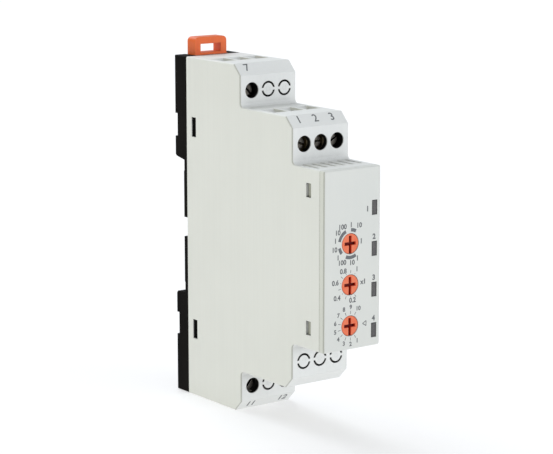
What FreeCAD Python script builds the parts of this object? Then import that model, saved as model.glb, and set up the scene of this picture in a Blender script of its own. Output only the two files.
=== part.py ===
import FreeCAD, Part
import math
import os
import re
from collections import namedtuple

import Sketcher
from FreeCAD import Rotation, Vector

# A one-module timer for a 35 mm top-hat rail.
#
# Frame: the origin is the middle of the rail seat. +Y points from the device into the rail and the
# panel behind it, +Z points up and +X points right as the user faces the front. Millimetres.

document = FreeCAD.newDocument("din_rail_timer")
sheet = document.addObject("Spreadsheet::Sheet", "sizes")

SIZES = [
    ("width", 17.5, "side to side, one module of rail"),
    ("front_height", 45.0, "height of the front section"),
    ("second_height", 68.4, "height over both second tiers"),
    ("height", 90.0, "height over both first tiers"),
    ("second_depth", 12.7, "front face back to the faces of the second tiers"),
    ("first_depth", 34.5, "front face back to the faces of the first tiers"),
    ("first_rear", 24.0, "faces of the first tiers back to the joint with the base"),
    ("plate_depth", 1.5, "joint with the base back to the rail seat"),
    ("hook_depth", 4.1, "rail seat back to the rear of the base"),
    ("rail_height", 35.0, "height of the rail over its flanges"),
    ("rail_thickness", 1.0, "thickness of the rail's flanges"),
    ("rail_gap", 0.1, "play between the rail and what grips it"),
    ("tier_chamfer", 2.8, "slope at the outer edge of each tier face"),
    ("step_radius", 1.1, "hollow rounding at the foot of each tier face"),
    ("edge_radius", 0.45, "rounding of the moulding's outer edges"),
    ("side_wall", 1.2, "thickness of the housing's two sides"),
    ("shell_wall", 1.5, "thickness of the housing's other walls"),
    ("fit_gap", 0.05, "gap between pieces that fit together"),
    ("running_gap", 0.06, "radial gap round a turning shaft"),
    ("cover_depth", 1.7, "depth of the front cover at its edge"),
    ("cover_plate", 1.2, "thickness of the front cover's plate"),
    ("skirt_depth", 1.6, "how far a locating skirt reaches into the housing"),
    ("skirt_wall", 0.9, "thickness of a locating skirt"),
    ("cover_tab_inset", 3.7, "top of the front section down to a cover tab"),
    ("cover_tab_height", 3.35, "height of a cover tab"),
    ("cover_tab_start", 5.2, "front face back to the cover tabs"),
    ("cover_tab_end", 6.9, "front face back to the rear of the cover tabs"),
    ("base_tab_inset", 15.6, "top of the first tier down to a base tab"),
    ("base_tab_height", 4.95, "height of a base tab"),
    ("base_tab_forward", 4.1, "joint with the base forward to the base tabs"),
    ("base_tab_depth", 1.7, "depth of a base tab"),
    ("tab_margin", 0.1, "gap round a tab in its window"),
    ("tab_sunk", 0.6, "how far a cover tab stops short of the outside"),
    ("tab_arm", 1.0, "thickness of the arm that carries a tab"),
    ("vent_count_half", 3, "vent slits on each side of the middle"),
    ("vent_pitch", 2.65, "vent slit to vent slit"),
    ("vent_width", 0.75, "width of a vent slit"),
    ("vent_start", 4.9, "front face back to the vent slits"),
    ("vent_end", 11.4, "front face back to the end of the vent slits"),
    ("pole_pitch", 5.08, "terminal to terminal"),
    ("first_drop", 6.65, "top of the first tier down to its screws"),
    ("second_drop", 6.85, "top of the second tier down to its screws"),
    ("access_radius", 2.03, "radius of a screw's access hole"),
    ("slit_width", 0.5, "width of the slit round a knock-out"),
    ("bridge_width", 0.68, "width of a bridge that holds a knock-out"),
    ("partition", 0.7, "thickness of the wall between two terminals"),
    ("chamber_reach", 5.35, "screw axis to the chamber floor"),
    ("chamber_floor", 0.8, "thickness of the chamber floor and rear wall"),
    ("chamber_depth", 15.6, "tier face back to the chamber's rear wall"),
    ("entry_start", 10.25, "tier face back to the wire entry"),
    ("entry_end", 14.75, "tier face back to the end of the wire entry"),
    ("entry_width", 4.2, "width of the wire entry"),
    ("entry_lead", 0.8, "slope at the front and rear of the wire entry"),
    ("head_depth", 2.0, "tier face back to the screw head"),
    ("head_height", 1.4, "thickness of the screw head"),
    ("head_radius", 1.65, "radius of the screw head"),
    ("slot_width", 0.6, "width of the screwdriver slot"),
    ("slot_depth", 0.8, "depth of the screwdriver slot"),
    ("screw_radius", 1.25, "radius of the screw over its thread"),
    ("screw_length", 6.0, "length of the screw under its head"),
    ("head_bevel", 0.3, "bevel round a screw's head"),
    ("screw_point", 0.5, "bevel at a screw's end"),
    ("thread_gap", 0.05, "radial gap between screw and cage"),
    ("cage_width", 3.5, "width of a clamp cage"),
    ("cage_side", 0.5, "thickness of a cage's sides"),
    ("cage_nut", 1.4, "thickness of a cage's threaded wall"),
    ("cage_floor", 0.8, "thickness of the wall that lifts the wire"),
    ("cage_length", 4.6, "length of a cage along the wire"),
    ("wire_gap", 3.2, "room for the wire in an open clamp"),
    ("strip", 0.8, "thickness of a contact strip"),
    ("bar_width", 2.2, "width of the contact strip inside the cage"),
    ("bar_reach", 3.2, "screw axis to each end of the contact bar"),
    ("guide", 0.3, "thickness of the guide leg beside the screw"),
    ("guide_high", 1.5, "screw axis to the guide leg's outer end"),
    ("shoulder_low", 4.1, "screw axis to the shoulder's inner edge"),
    ("shoulder_gap", 0.2, "gap between the cage and the shoulder"),
    ("tail_width", 1.3, "width of a contact's tail"),
    ("pin_inset_side", 0.25, "how much narrower a contact's pin is than its foot, on each side"),
    ("tail_offset", 1.2, "contact bar's middle to its tail"),
    ("tail_drop", 1.3, "chamber floor to the foot of the nearest contact"),
    ("tail_pitch", 2.0, "distance between the feet of neighbouring contacts"),
    ("board", 1.6, "thickness of the circuit boards"),
    ("board_side", 4.6, "middle to the component side of the main board"),
    ("board_start", 10.4, "front face back to the main board"),
    ("board_step", 30.2, "front face back to where the main board widens"),
    ("board_rear_gap", 2.9, "rear edge of the main board to the joint with the base"),
    ("board_margin", 0.5, "gap between the main board and a chamber floor"),
    ("board_shoulder", 1.0, "gap between the main board and the inside of the second tier's top"),
    ("panel_board_start", 8.6, "front face back to the front board"),
    ("panel_board_half", 6.3, "half width of the front board"),
    ("panel_board_gap", 2.1, "top of the front section down to the front board"),
    ("dial_x", 0.62, "distance of the dials to the left of the middle"),
    ("dial_top", 4.0, "height of the top dial above the middle"),
    ("dial_pitch", 10.25, "dial to dial"),
    ("knob_radius", 2.5, "radius of a knob"),
    ("knob_gap", 0.1, "radial gap round a knob in the cover"),
    ("knob_flange", 3.1, "radius of the flange that keeps a knob in"),
    ("knob_flange_depth", 0.6, "thickness of that flange"),
    ("knob_stem", 1.5, "radius of a knob's stem"),
    ("knob_bevel", 0.2, "bevel round a knob's face"),
    ("cross_width", 0.85, "width of a knob's cross slot"),
    ("cross_depth", 0.8, "depth of a knob's cross slot"),
    ("cross_reach", 1.75, "knob's middle to the end of a short arm"),
    ("key_side", 1.8, "side of the square key at the end of a stem"),
    ("key_length", 2.0, "length of that key"),
    ("rotor_radius", 2.8, "radius of a switch's rotor"),
    ("rotor_front", 3.3, "front face back to the rotors"),
    ("rotor_depth", 2.6, "thickness of a rotor"),
    ("switch_front", 3.9, "front face back to the switch bodies"),
    ("switch_width", 8.6, "width of a switch body"),
    ("switch_gap", 2.25, "gap between neighbouring switch bodies"),
    ("switch_step", 0.8, "step at each side of a switch's front"),
    ("switch_pin_pitch", 2.4, "pin to pin along a switch"),
    ("switch_pin_half", 0.4, "half width of a switch's pin"),
    ("switch_pin_out", 0.25, "how far a switch's pins stand out below it"),
    ("window_near", 6.15, "middle to the near edge of an indicator window"),
    ("window_far", 7.65, "middle to the far edge of an indicator window"),
    ("window_height", 3.6, "height of an indicator window"),
    ("window_top", 12.2, "height of the top window's centre above the middle"),
    ("window_pitch", 10.25, "window to window"),
    ("window_lens", 0.65, "thickness of the window's outer lens"),
    ("pipe_near", 4.95, "middle to the near side of the light pipe"),
    ("pipe_width", 1.2, "width of the light pipe"),
    ("led_depth", 0.9, "height of an LED over its board"),
    ("latch_width", 10.0, "width of the latch"),
    ("latch_front", 0.65, "rail seat forward to the latch's front"),
    ("latch_rear", 3.4, "rail seat back to the latch's rear"),
    ("latch_out", 4.6, "how far the latch's loop stands out above the housing"),
    ("latch_radius", 1.2, "rounding of the loop's corners"),
    ("loop_width", 6.4, "width of the loop's window"),
    ("loop_low", 0.55, "top of the housing up to the loop window's lower edge"),
    ("loop_height", 2.25, "height of the loop's window"),
    ("loop_set_back", 0.6, "latch's front back to the loop's front"),
    ("nose_reach", 1.5, "how far each hook reaches over the rail"),
    ("nose_root", 0.6, "how far each hook is rooted beside the rail"),
    ("nose_flat", 0.7, "depth of the flat at a hook's tip"),
    ("nose_slope", 0.5, "how much lower a hook is at its rear"),
    ("latch_clear", 0.4, "play between the rail and the latch beside its hook"),
    ("block_clear", 0.2, "play between the rail and the block round the latch"),
    ("lead_in", 0.7, "depth of the slope that leads the rail in"),
    ("rib_reach", 1.2, "how far the latch's ribs stand out"),
    ("rib_near", 0.9, "rail seat back to the ribs"),
    ("rib_thickness", 1.3, "thickness of the ribs"),
    ("rib_start", 3.6, "rail's edge up to the ribs' lower ends"),
    ("rib_length", 15.9, "length of the ribs"),
    ("latch_travel", 4.0, "how far the latch pulls up"),
    ("latch_gap", 0.12, "gap round the latch in its channel"),
    ("pocket_half", 2.1, "half width of the spring pocket in the latch"),
    ("pocket_start", 9.5, "rail's edge up to the spring pocket's floor"),
    ("pocket_room", 0.6, "anchor's top to the top of the spring pocket"),
    ("spring_room", 9.2, "spring pocket's floor up to the anchor"),
    ("anchor_height", 2.2, "height of the anchor"),
    ("spring_radius", 1.35, "mean radius of the spring's coils"),
    ("spring_wire", 0.22, "radius of the spring's wire"),
    ("spring_turns", 7, "turns of the spring"),
    ("recess_start", 6.2, "rail's edge up to the rear recess"),
    ("recess_height", 6.1, "height of the rear recess"),
    ("recess_depth", 1.3, "depth of the rear recess"),
    ("notch_half", 2.6, "half height of the notches beside the seat"),
    ("seat_margin", 2.6, "rail's edge to the edge of the rail seat"),
    ("seat_raise", 0.2, "how far the rail seat stands up"),
    ("core_inset", 1.4, "wall left round the hollows in the lower block"),
    ("core_rib_half", 0.8, "half width of the rib between those hollows"),
    ("header_pins", 8, "pins in the header between the boards"),
    ("header_pitch", 2.54, "header pin to header pin"),
    ("header_rise", 3.1, "front board to the rear of the header's bar"),
    ("pin_half", 0.32, "half thickness of a header pin"),
    ("pin_reach", 1.9, "front board to the part of a pin that enters the main board"),
    ("pin_inset", 1.3, "main board to the part of a pin that enters the front board"),
    ("stand_off", 0.4, "gap between a component's case and the main board"),
    ("can_bevel", 0.35, "bevel at a can's ends and depth of its crimp"),
    ("can_crimp", 2.1, "board end of a can to the middle of its crimp"),
    ("can_crimp_half", 0.5, "half length of a can's crimp"),
    ("lead_half", 0.3, "half thickness of a component's lead"),
    ("relay_place", 36.5, "front face back to the relay's middle"),
    ("relay_length", 20.0, "length of the relay from front to rear"),
    ("relay_breadth", 10.0, "height of the relay"),
    ("relay_rise", 10.6, "main board to the top of the relay's cover"),
    ("film_place", 20.0, "front face back to the film capacitor's middle"),
    ("film_drop", 16.0, "film capacitor's middle below the middle"),
    ("film_length", 13.0, "length of the film capacitor"),
    ("film_breadth", 5.0, "thickness of the film capacitor"),
    ("film_rise", 10.8, "main board to the top of the film capacitor"),
    ("film_leads", 10.0, "lead to lead on the film capacitor"),
    ("power_inset", 8.5, "joint with the base forward to the row of power components"),
    ("varistor_radius", 3.6, "radius of the varistor's disc"),
    ("varistor_thick", 3.6, "thickness of the varistor's disc"),
    ("varistor_rise", 6.3, "main board to the middle of the varistor's disc"),
    ("varistor_drop", 24.1, "varistor's middle below the middle"),
    ("varistor_leads", 4.8, "lead to lead on the varistor, from front to rear"),
    ("bridge_drop", 12.0, "bridge rectifier's middle below the middle"),
    ("bridge_length", 8.4, "height of the bridge rectifier"),
    ("bridge_breadth", 6.4, "bridge rectifier from front to rear"),
    ("bridge_rise", 3.6, "main board to the top of the bridge rectifier"),
    ("bridge_leads", 5.0, "leg to leg along the bridge rectifier"),
    ("fuse_radius", 1.7, "radius of the fuse resistor"),
    ("fuse_length", 9.2, "length of the fuse resistor"),
    ("fuse_rise", 2.4, "main board to the fuse resistor's axis"),
    ("fuse_leads", 12.0, "lead to lead on the fuse resistor"),
    ("chip_place", 22.8, "front face back to the microcontroller's middle"),
    ("chip_breadth", 3.9, "width of the microcontroller's case"),
    ("chip_length", 10.0, "length of the microcontroller's case"),
    ("chip_rise", 1.6, "main board to the top of the microcontroller"),
    ("chip_leg", 1.2, "length of a microcontroller's leg"),
    ("chip_pitch", 1.27, "leg to leg on the chips and transistors"),
    ("case_radius", 2.3, "radius of a transistor's case"),
    ("case_flat", 1.3, "middle of a transistor's case to its flat side"),
    ("case_rise", 6.0, "main board to the top of a transistor's case"),
    ("resistor_place", 17.6, "front face back to the chip resistors"),
    ("resistor_pitch", 1.9, "chip resistor to chip resistor"),
    ("resistor_rise", 0.6, "thickness of a chip resistor"),
]

for row, (alias, number, meaning) in enumerate(SIZES, start=1):
    sheet.set(f"A{row}", str(number))
    sheet.setAlias(f"A{row}", alias)
    sheet.set(f"B{row}", meaning)
document.recompute()

ALIASES = {alias for alias, number, meaning in SIZES}
NODES = []


def size(alias):
    """The number in the sheet's cell."""
    return float(sheet.get(alias))


def formula(text):
    """The text with each size's name turned into a reference to its cell."""
    return re.sub(r"[a-z_]+", lambda word: "sizes." + word.group() if word.group() in ALIASES
                  else word.group(), str(text))


def bind(item, path, text):
    """Ties one property of an object to a formula."""
    item.setExpression(path, formula(text))


def place(item, x="0", y="0", z="0", turn=None):
    """Puts an object at a point given by formulas, turned by a fixed rotation."""
    if turn is not None:
        item.Placement.Rotation = turn
    for axis, text in zip("xyz", (x, y, z)):
        bind(item, f"Placement.Base.{axis}", text)
    return item


def node(item, label):
    """Registers an object as one of the sub-parts that are written out."""
    item.Label = label
    NODES.append(item)
    return item


# ---------------------------------------------------------------- simple solids and their sums

def block(name, x, y, z):
    """A box between (low, high) formulas on each axis."""
    box = document.addObject("Part::Box", name)
    for side, axis, (low, high) in zip(("Length", "Width", "Height"), "xyz", (x, y, z)):
        bind(box, side, f"({high}) - ({low})")
        bind(box, f"Placement.Base.{axis}", low)
    return box


TURN_TO = {"x": Rotation(Vector(0, 1, 0), 90), "y": Rotation(Vector(1, 0, 0), -90), "z": Rotation()}


def rod(name, axis, start, end, centre, radius):
    """A cylinder along x, y or z; centre holds the formulas of the two other coordinates."""
    cylinder = document.addObject("Part::Cylinder", name)
    bind(cylinder, "Radius", radius)
    bind(cylinder, "Height", f"({end}) - ({start})")
    spot = list(centre)
    spot.insert("xyz".index(axis), start)
    return place(cylinder, *spot, turn=TURN_TO[axis])


def joined(name, pieces):
    """The sum of several solids, with the seams between flush faces removed."""
    total = document.addObject("Part::MultiFuse", name)
    total.Shapes = pieces
    total.Refine = True
    return total


def grouped(name, pieces):
    """Several separate solids that share one node."""
    group = document.addObject("Part::Compound", name)
    group.Links = pieces
    return group


def cut_away(name, base, pieces):
    """A solid less all of the pieces."""
    tool = pieces[0] if len(pieces) == 1 else grouped(f"{name}_tools", pieces)
    result = document.addObject("Part::Cut", name)
    result.Base = base
    result.Tool = tool
    result.Refine = True
    return result


# ---------------------------------------------------------------- bodies, sketches and features

def new_body(name):
    return document.addObject("PartDesign::Body", name)


def new_sketch(body, name, plane, offset="0"):
    """A sketch on one of the body's own origin planes, moved along the plane's normal."""
    sketch = body.newObject("Sketcher::SketchObject", name)
    origin_plane = next(item for item in body.Origin.OriginFeatures if item.Role == plane)
    sketch.AttachmentSupport = [(origin_plane, "")]
    sketch.MapMode = "FlatFace"
    bind(sketch, "AttachmentOffset.Base.z", offset)
    return sketch


def draw_polygon(sketch, points):
    """A closed outline through points given as pairs of formulas, each tied to the origin."""
    first = sketch.GeometryCount
    count = len(points)
    start = [Vector(math.cos(math.tau * i / count), math.sin(math.tau * i / count), 0) for i in range(count)]
    for i in range(count):
        sketch.addGeometry(Part.LineSegment(start[i], start[(i + 1) % count]))
    for i in range(count):
        sketch.addConstraint(Sketcher.Constraint("Coincident", first + i, 2, first + (i + 1) % count, 1))
    for i, point in enumerate(points):
        for kind, text, now in zip(("DistanceX", "DistanceY"), point, (start[i].x, start[i].y)):
            number = sketch.addConstraint(Sketcher.Constraint(kind, -1, 1, first + i, 1, now))
            bind(sketch, f"Constraints[{number}]", text)


def draw_rectangle(sketch, across, up):
    """A rectangle between (low, high) formulas."""
    left, right = across
    low, high = up
    draw_polygon(sketch, [(left, low), (right, low), (right, high), (left, high)])


def draw_circle(sketch, centre, radius):
    """A circle about a point given as a pair of formulas."""
    index = sketch.addGeometry(Part.Circle(Vector(0, 0, 0), Vector(0, 0, 1), 1))
    number = sketch.addConstraint(Sketcher.Constraint("Radius", index, 1))
    bind(sketch, f"Constraints[{number}]", radius)
    for kind, text in zip(("DistanceX", "DistanceY"), centre):
        number = sketch.addConstraint(Sketcher.Constraint(kind, -1, 1, index, 3, 0))
        bind(sketch, f"Constraints[{number}]", text)


def pad(body, sketch, length, symmetric=False):
    """Adds the sketch's area over a length, forwards or to both sides of its plane."""
    feature = body.newObject("PartDesign::Pad", f"{sketch.Name}_pad")
    feature.Profile = sketch
    feature.SideType = "Symmetric" if symmetric else "One side"
    bind(feature, "Length", length)
    return feature


def pocket(body, sketch, length, symmetric=False):
    """Removes the sketch's area over a length, backwards or to both sides of its plane."""
    document.recompute()
    before = body.Shape.Volume
    feature = body.newObject("PartDesign::Pocket", f"{sketch.Name}_pocket")
    feature.Profile = sketch
    feature.SideType = "Symmetric" if symmetric else "One side"
    bind(feature, "Length", length)
    document.recompute()
    if not body.Shape.Volume < before:
        raise ValueError(f"{feature.Name} removes nothing")
    return feature


def revolve(body, sketch):
    """Turns a half outline about the sketch's upright axis."""
    feature = body.newObject("PartDesign::Revolution", f"{sketch.Name}_turned")
    feature.Profile = sketch
    feature.ReferenceAxis = (sketch, ["V_Axis"])
    feature.Angle = 360
    return feature


def round_edges(body, name, radius, chosen):
    """Rounds those edges of the body for which chosen(middle, direction) is true."""
    document.recompute()
    tip = body.Tip
    names = []
    for number, edge in enumerate(tip.Shape.Edges, start=1):
        if edge.Curve.TypeId != "Part::GeomLine":
            continue
        direction = edge.tangentAt(edge.FirstParameter)
        if chosen(edge.CenterOfMass, direction):
            names.append(f"Edge{number}")
    feature = body.newObject("PartDesign::Fillet", name)
    feature.Base = (tip, names)
    bind(feature, "Radius", radius)
    return feature


# ---------------------------------------------------------------- shared planes and places

HALF_WIDTH = "(width / 2)"
FRONT = "(-first_depth - first_rear - plate_depth)"
JOINT = f"({FRONT} + cover_depth)"
SECOND_FACE = f"({FRONT} + second_depth)"
FIRST_FACE = f"({FRONT} + first_depth)"
HOUSING_REAR = "(-plate_depth)"
REAR = "hook_depth"
INNER_HALF = f"({HALF_WIDTH} - side_wall)"
FRONT_TOP = "(front_height / 2)"
SECOND_TOP = "(second_height / 2)"
FIRST_TOP = "(height / 2)"

Pole = namedtuple("Pole", "name column tier side guide_side rank")
POLES = [
    Pole("supply_top", -1, "first", 1, -1, 2),
    Pole("output_left", -1, "second", 1, 1, 2),
    Pole("output_middle", 0, "second", 1, 1, 1),
    Pole("output_right", 1, "second", 1, -1, 0),
    Pole("supply_bottom_left", -1, "first", -1, -1, 2),
    Pole("supply_bottom_right", 1, "first", -1, 1, 0),
]
CLOSED_PLACES = [(0, "first", 1), (1, "first", 1), (0, "first", -1),
                 (-1, "second", -1), (0, "second", -1), (1, "second", -1)]
TIERS = [("first", 1), ("second", 1), ("first", -1), ("second", -1)]
TIER_FACE = {"first": FIRST_FACE, "second": SECOND_FACE}
TIER_AXIS = {"first": f"({FIRST_TOP} - first_drop)", "second": f"({SECOND_TOP} - second_drop)"}
TIER_TOP = {"first": FIRST_TOP, "second": SECOND_TOP}
SWITCHES = [("range", "range_switch", 4), ("time", "time_potentiometer", 3), ("mode", "mode_switch", 4)]


def mirrored(side, near, far):
    """The (low, high) pair of a span above the middle, or of its mirror image below."""
    return (near, far) if side > 0 else (f"-({far})", f"-({near})")


def column_x(column):
    return f"({column} * pole_pitch)"


def about(centre, half):
    """The (low, high) pair of a span of the given half length about a centre."""
    return f"{centre} - ({half})", f"{centre} + ({half})"


def dial_z(number):
    return f"(dial_top - {number} * dial_pitch)"


def window_z(number):
    return f"(window_top - {number} * window_pitch)"


DIAL_X = "(-dial_x)"
SWITCH_HALF = "((dial_pitch - switch_gap) / 2)"
WINDOW_COUNT = 4
ACROSS = (f"-{HALF_WIDTH}", HALF_WIDTH)
BAR_FRONT = "(head_depth + head_height + screw_length + fit_gap)"
CAGE_FRONT = f"({BAR_FRONT} - 2 * fit_gap - cage_nut)"
BOARD_FAR = "(board_side + board)"
PAST = 1  # how far a cutting shape runs past the face that it opens
THROUGH_MAIN = (f"board_side - {PAST}", f"{BOARD_FAR} + {PAST}")
ROOTED = 0.2  # how far a fused part reaches into what it grows from
COVER_TAB = ((f"{FRONT} + cover_tab_start", f"{FRONT} + cover_tab_end"),
             (f"{FRONT_TOP} - cover_tab_inset - cover_tab_height", f"{FRONT_TOP} - cover_tab_inset"))
BASE_TAB = ((f"{HOUSING_REAR} - base_tab_forward", f"{HOUSING_REAR} - base_tab_forward + base_tab_depth"),
            (f"{FIRST_TOP} - base_tab_inset - base_tab_height", f"{FIRST_TOP} - base_tab_inset"))


# ---------------------------------------------------------------- housing

def stepped_outline(front, inset):
    """The side outline of the stepped housing, moved inwards by a wall, open at front and rear."""
    slope = f"(tier_chamfer - {inset} * (2 - sqrt(2)))"
    upper = [
        (front, f"{FRONT_TOP} - {inset}"),
        (f"{SECOND_FACE} + {inset}", f"{FRONT_TOP} - {inset}"),
        (f"{SECOND_FACE} + {inset}", f"{SECOND_TOP} - {inset} - {slope}"),
        (f"{SECOND_FACE} + {inset} + {slope}", f"{SECOND_TOP} - {inset}"),
        (f"{FIRST_FACE} + {inset}", f"{SECOND_TOP} - {inset}"),
        (f"{FIRST_FACE} + {inset}", f"{FIRST_TOP} - {inset} - {slope}"),
        (f"{FIRST_FACE} + {inset} + {slope}", f"{FIRST_TOP} - {inset}"),
        (HOUSING_REAR, f"{FIRST_TOP} - {inset}"),
    ]
    lower = [(y, f"-({z})") for y, z in reversed(upper)]
    return upper + lower


def make_shell_body():
    """The moulded tube: stepped outline, rounded edges, hollow from front to rear."""
    body = new_body("shell_moulding")
    outline = new_sketch(body, "shell_outline", "YZ_Plane")
    draw_polygon(outline, stepped_outline(JOINT, "0"))
    pad(body, outline, "width", symmetric=True)

    rear = -size("plate_depth")
    front = rear - size("first_rear") - size("first_depth")
    steps = [(front + size("second_depth"), size("front_height") / 2),
             (front + size("first_depth"), size("second_height") / 2)]

    def at_step(middle, direction):
        return any(math.hypot(middle.y - y, abs(middle.z) - z) < 1e-6 for y, z in steps)

    round_edges(body, "shell_steps", "step_radius", at_step)
    joint = front + size("cover_depth")

    def on_outside(middle, direction):
        at_side = abs(abs(middle.x) - size("width") / 2) < 1e-6
        at_end = min(abs(middle.y - joint), abs(middle.y - rear)) < 1e-6
        return at_side and not at_end and abs(direction.x) < 1e-6

    round_edges(body, "shell_edges", "edge_radius", on_outside)
    hollow = new_sketch(body, "shell_hollow", "YZ_Plane")
    draw_polygon(hollow, stepped_outline(JOINT, "shell_wall"))
    pocket(body, hollow, "width - 2 * side_wall", symmetric=True)
    return body


def chamber_walls(tier, side):
    """The floor, rear wall and two partitions of one row of three terminal chambers, before trimming."""
    face, axis, top = TIER_FACE[tier], TIER_AXIS[tier], TIER_TOP[tier]
    name = f"{tier}_{'top' if side > 0 else 'bottom'}"
    depth = (face, f"{face} + chamber_depth + chamber_floor")
    floor_top = f"{axis} - chamber_reach"
    upright = mirrored(side, f"{floor_top} - chamber_floor", top)
    walls = [
        block(f"{name}_floor", ACROSS, depth, mirrored(side, f"{floor_top} - chamber_floor", floor_top)),
        block(f"{name}_back", ACROSS, (f"{face} + chamber_depth", depth[1]), upright),
    ]
    for column in (-0.5, 0.5):
        walls.append(block(f"{name}_partition", about(column_x(column), "partition / 2"), depth, upright))
    return walls


def access_hole(column, tier, side):
    """The round hole through a tier face that a screwdriver passes."""
    through = (f"{TIER_FACE[tier]} - {PAST}", f"{TIER_FACE[tier]} + shell_wall + {PAST}")
    centre = (column_x(column), f"({side} * {TIER_AXIS[tier]})")
    return rod("access_hole", "y", *through, centre, "access_radius")


def knock_out(column, tier, side):
    """Two curved slits that leave a round blank held by two bridges."""
    face = TIER_FACE[tier]
    x = column_x(column)
    z = f"({side} * {TIER_AXIS[tier]})"
    through = (f"{face} - {PAST}", f"{face} + shell_wall + {PAST}")
    outer = rod("slit_outer", "y", *through, (x, z), "access_radius")
    inner = rod("slit_inner", "y", *through, (x, z), "access_radius - slit_width")
    bridge = block("slit_bridge", about(x, f"access_radius + {PAST}"), through, about(z, "bridge_width / 2"))
    return cut_away("slit", outer, [inner, bridge])


def wire_entry(column, tier, side):
    """The rectangular opening in a tier's outer face, above or below the clamp."""
    face, top = TIER_FACE[tier], TIER_TOP[tier]
    return block("wire_entry", about(column_x(column), "entry_width / 2"),
                 (f"{face} + entry_start", f"{face} + entry_end"),
                 mirrored(side, f"{top} - shell_wall - {PAST} / 2", f"{top} + {PAST}"))


def entry_lead(column, tier, side):
    """The slopes at the front and rear of a wire entry, which lead the wire in."""
    top = TIER_TOP[tier]
    near, far = f"{TIER_FACE[tier]} + entry_start", f"{TIER_FACE[tier]} + entry_end"
    section = [(f"{near} - entry_lead", f"{top} + {PAST}"), (f"{near} - entry_lead", top),
               (near, f"{top} - entry_lead"), (far, f"{top} - entry_lead"),
               (f"{far} + entry_lead", top), (f"{far} + entry_lead", f"{top} + {PAST}")]
    body = new_body("entry_lead")
    outline = new_sketch(body, "entry_lead_outline", "YZ_Plane", column_x(column))
    draw_polygon(outline, [(y, f"{side} * ({z})") for y, z in section])
    pad(body, outline, "entry_width", symmetric=True)
    return body


def pole_place(pole):
    """The formulas of a pole's x, face and signed screw height."""
    return column_x(pole.column), TIER_FACE[pole.tier], f"({pole.side} * {TIER_AXIS[pole.tier]})"


def tail_x(pole):
    """The contact's tail comes down on the side away from the main board's edge."""
    return f"({column_x(pole.column)} - tail_offset)"


def foot_low(pole):
    """The distance above the middle of the lower edge of a contact's foot."""
    floor_bottom = f"{TIER_AXIS[pole.tier]} - chamber_reach - chamber_floor"
    return f"({floor_bottom} - tail_drop - tail_width - {pole.rank} * tail_pitch)"


def tail_slot(pole):
    """The slot in the chamber floor that the contact's tail passes."""
    strip_front = f"{TIER_FACE[pole.tier]} + {BAR_FRONT}"
    floor_top = f"{TIER_AXIS[pole.tier]} - chamber_reach"
    return block("tail_slot", about(tail_x(pole), "tail_width / 2 + fit_gap"),
                 (f"{strip_front} - fit_gap", f"{strip_front} + strip + fit_gap"),
                 mirrored(pole.side, f"{floor_top} - chamber_floor - {PAST}", f"{floor_top} + {PAST}"))


def tab_windows(depth, height):
    """Four windows through the sides, which the tabs of the cover or the base snap into."""
    start, end = depth
    near, far = height
    openings = []
    for side in (1, -1):
        openings.append(block("tab_window", about("0", f"{HALF_WIDTH} + {PAST}"),
                              (f"{start} - tab_margin", f"{end} + tab_margin"),
                              mirrored(side, f"{near} - tab_margin", f"{far} + tab_margin")))
    return openings


def vent_slits():
    """Slits through the top and bottom of the front section."""
    slits = []
    half = int(size("vent_count_half"))
    for side in (1, -1):
        through = mirrored(side, f"{FRONT_TOP} - shell_wall - {PAST}", f"{FRONT_TOP} + {PAST}")
        for number in range(-half, half):
            slits.append(block("vent_slit", about(f"(({number} + 0.5) * vent_pitch)", "vent_width / 2"),
                               (f"{FRONT} + vent_start", f"{FRONT} + vent_end"), through))
    return slits


def make_housing():
    walls = [wall for tier, side in TIERS for wall in chamber_walls(tier, side)]
    limit = new_body("chamber_limit")
    outline = new_sketch(limit, "chamber_limit_outline", "YZ_Plane")
    draw_polygon(outline, stepped_outline(JOINT, "shell_wall / 2"))
    pad(limit, outline, "width - side_wall", symmetric=True)
    chambers = document.addObject("Part::MultiCommon", "chamber_walls")
    chambers.Shapes = [joined("chamber_blocks", walls), limit]
    moulding = joined("shell_with_chambers", [make_shell_body(), chambers])
    openings = [access_hole(pole.column, pole.tier, pole.side) for pole in POLES]
    openings += [knock_out(*spot) for spot in CLOSED_PLACES]
    for tier, side in TIERS:
        for column in (-1, 0, 1):
            openings += [wire_entry(column, tier, side), entry_lead(column, tier, side)]
    openings += [tail_slot(pole) for pole in POLES]
    openings += tab_windows(*COVER_TAB)
    openings += tab_windows(*BASE_TAB)
    openings += vent_slits()
    node(cut_away("housing", moulding, openings), "housing_shell")


# ---------------------------------------------------------------- snap arms, skirt

def snap_arms(name, arm, depth, height, sunk):
    """Four arms along the inside of the sides, each with a tab that stands in its window."""
    pieces = []
    for hand in (1, -1):
        for side in (1, -1):
            across = mirrored(hand, f"{INNER_HALF} - fit_gap - tab_arm", f"{INNER_HALF} - fit_gap")
            out = mirrored(hand, f"{INNER_HALF} - fit_gap - tab_arm / 2", f"{HALF_WIDTH} - {sunk}")
            upright = mirrored(side, *height)
            pieces.append(block(f"{name}_arm", across, arm, upright))
            pieces.append(block(f"{name}_tab", out, depth, upright))
    return pieces


def skirt(name, depth, reach):
    """A thin frame that locates the piece inside the end of the housing."""
    half = f"{INNER_HALF} - fit_gap"
    longer = (f"{depth[0]} - {PAST}", f"{depth[1]} + {PAST}")
    outer = block(f"{name}_skirt_outer", about("0", half), depth, about("0", reach))
    inner = block(f"{name}_skirt_inner", about("0", f"{half} - skirt_wall"), longer,
                  about("0", f"{reach} - skirt_wall"))
    return cut_away(f"{name}_skirt", outer, [inner])


# ---------------------------------------------------------------- front cover

def window_block(number, x, y, grow):
    return block("window_block", x, y, about(window_z(number), f"window_height / 2 + {grow}"))


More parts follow.
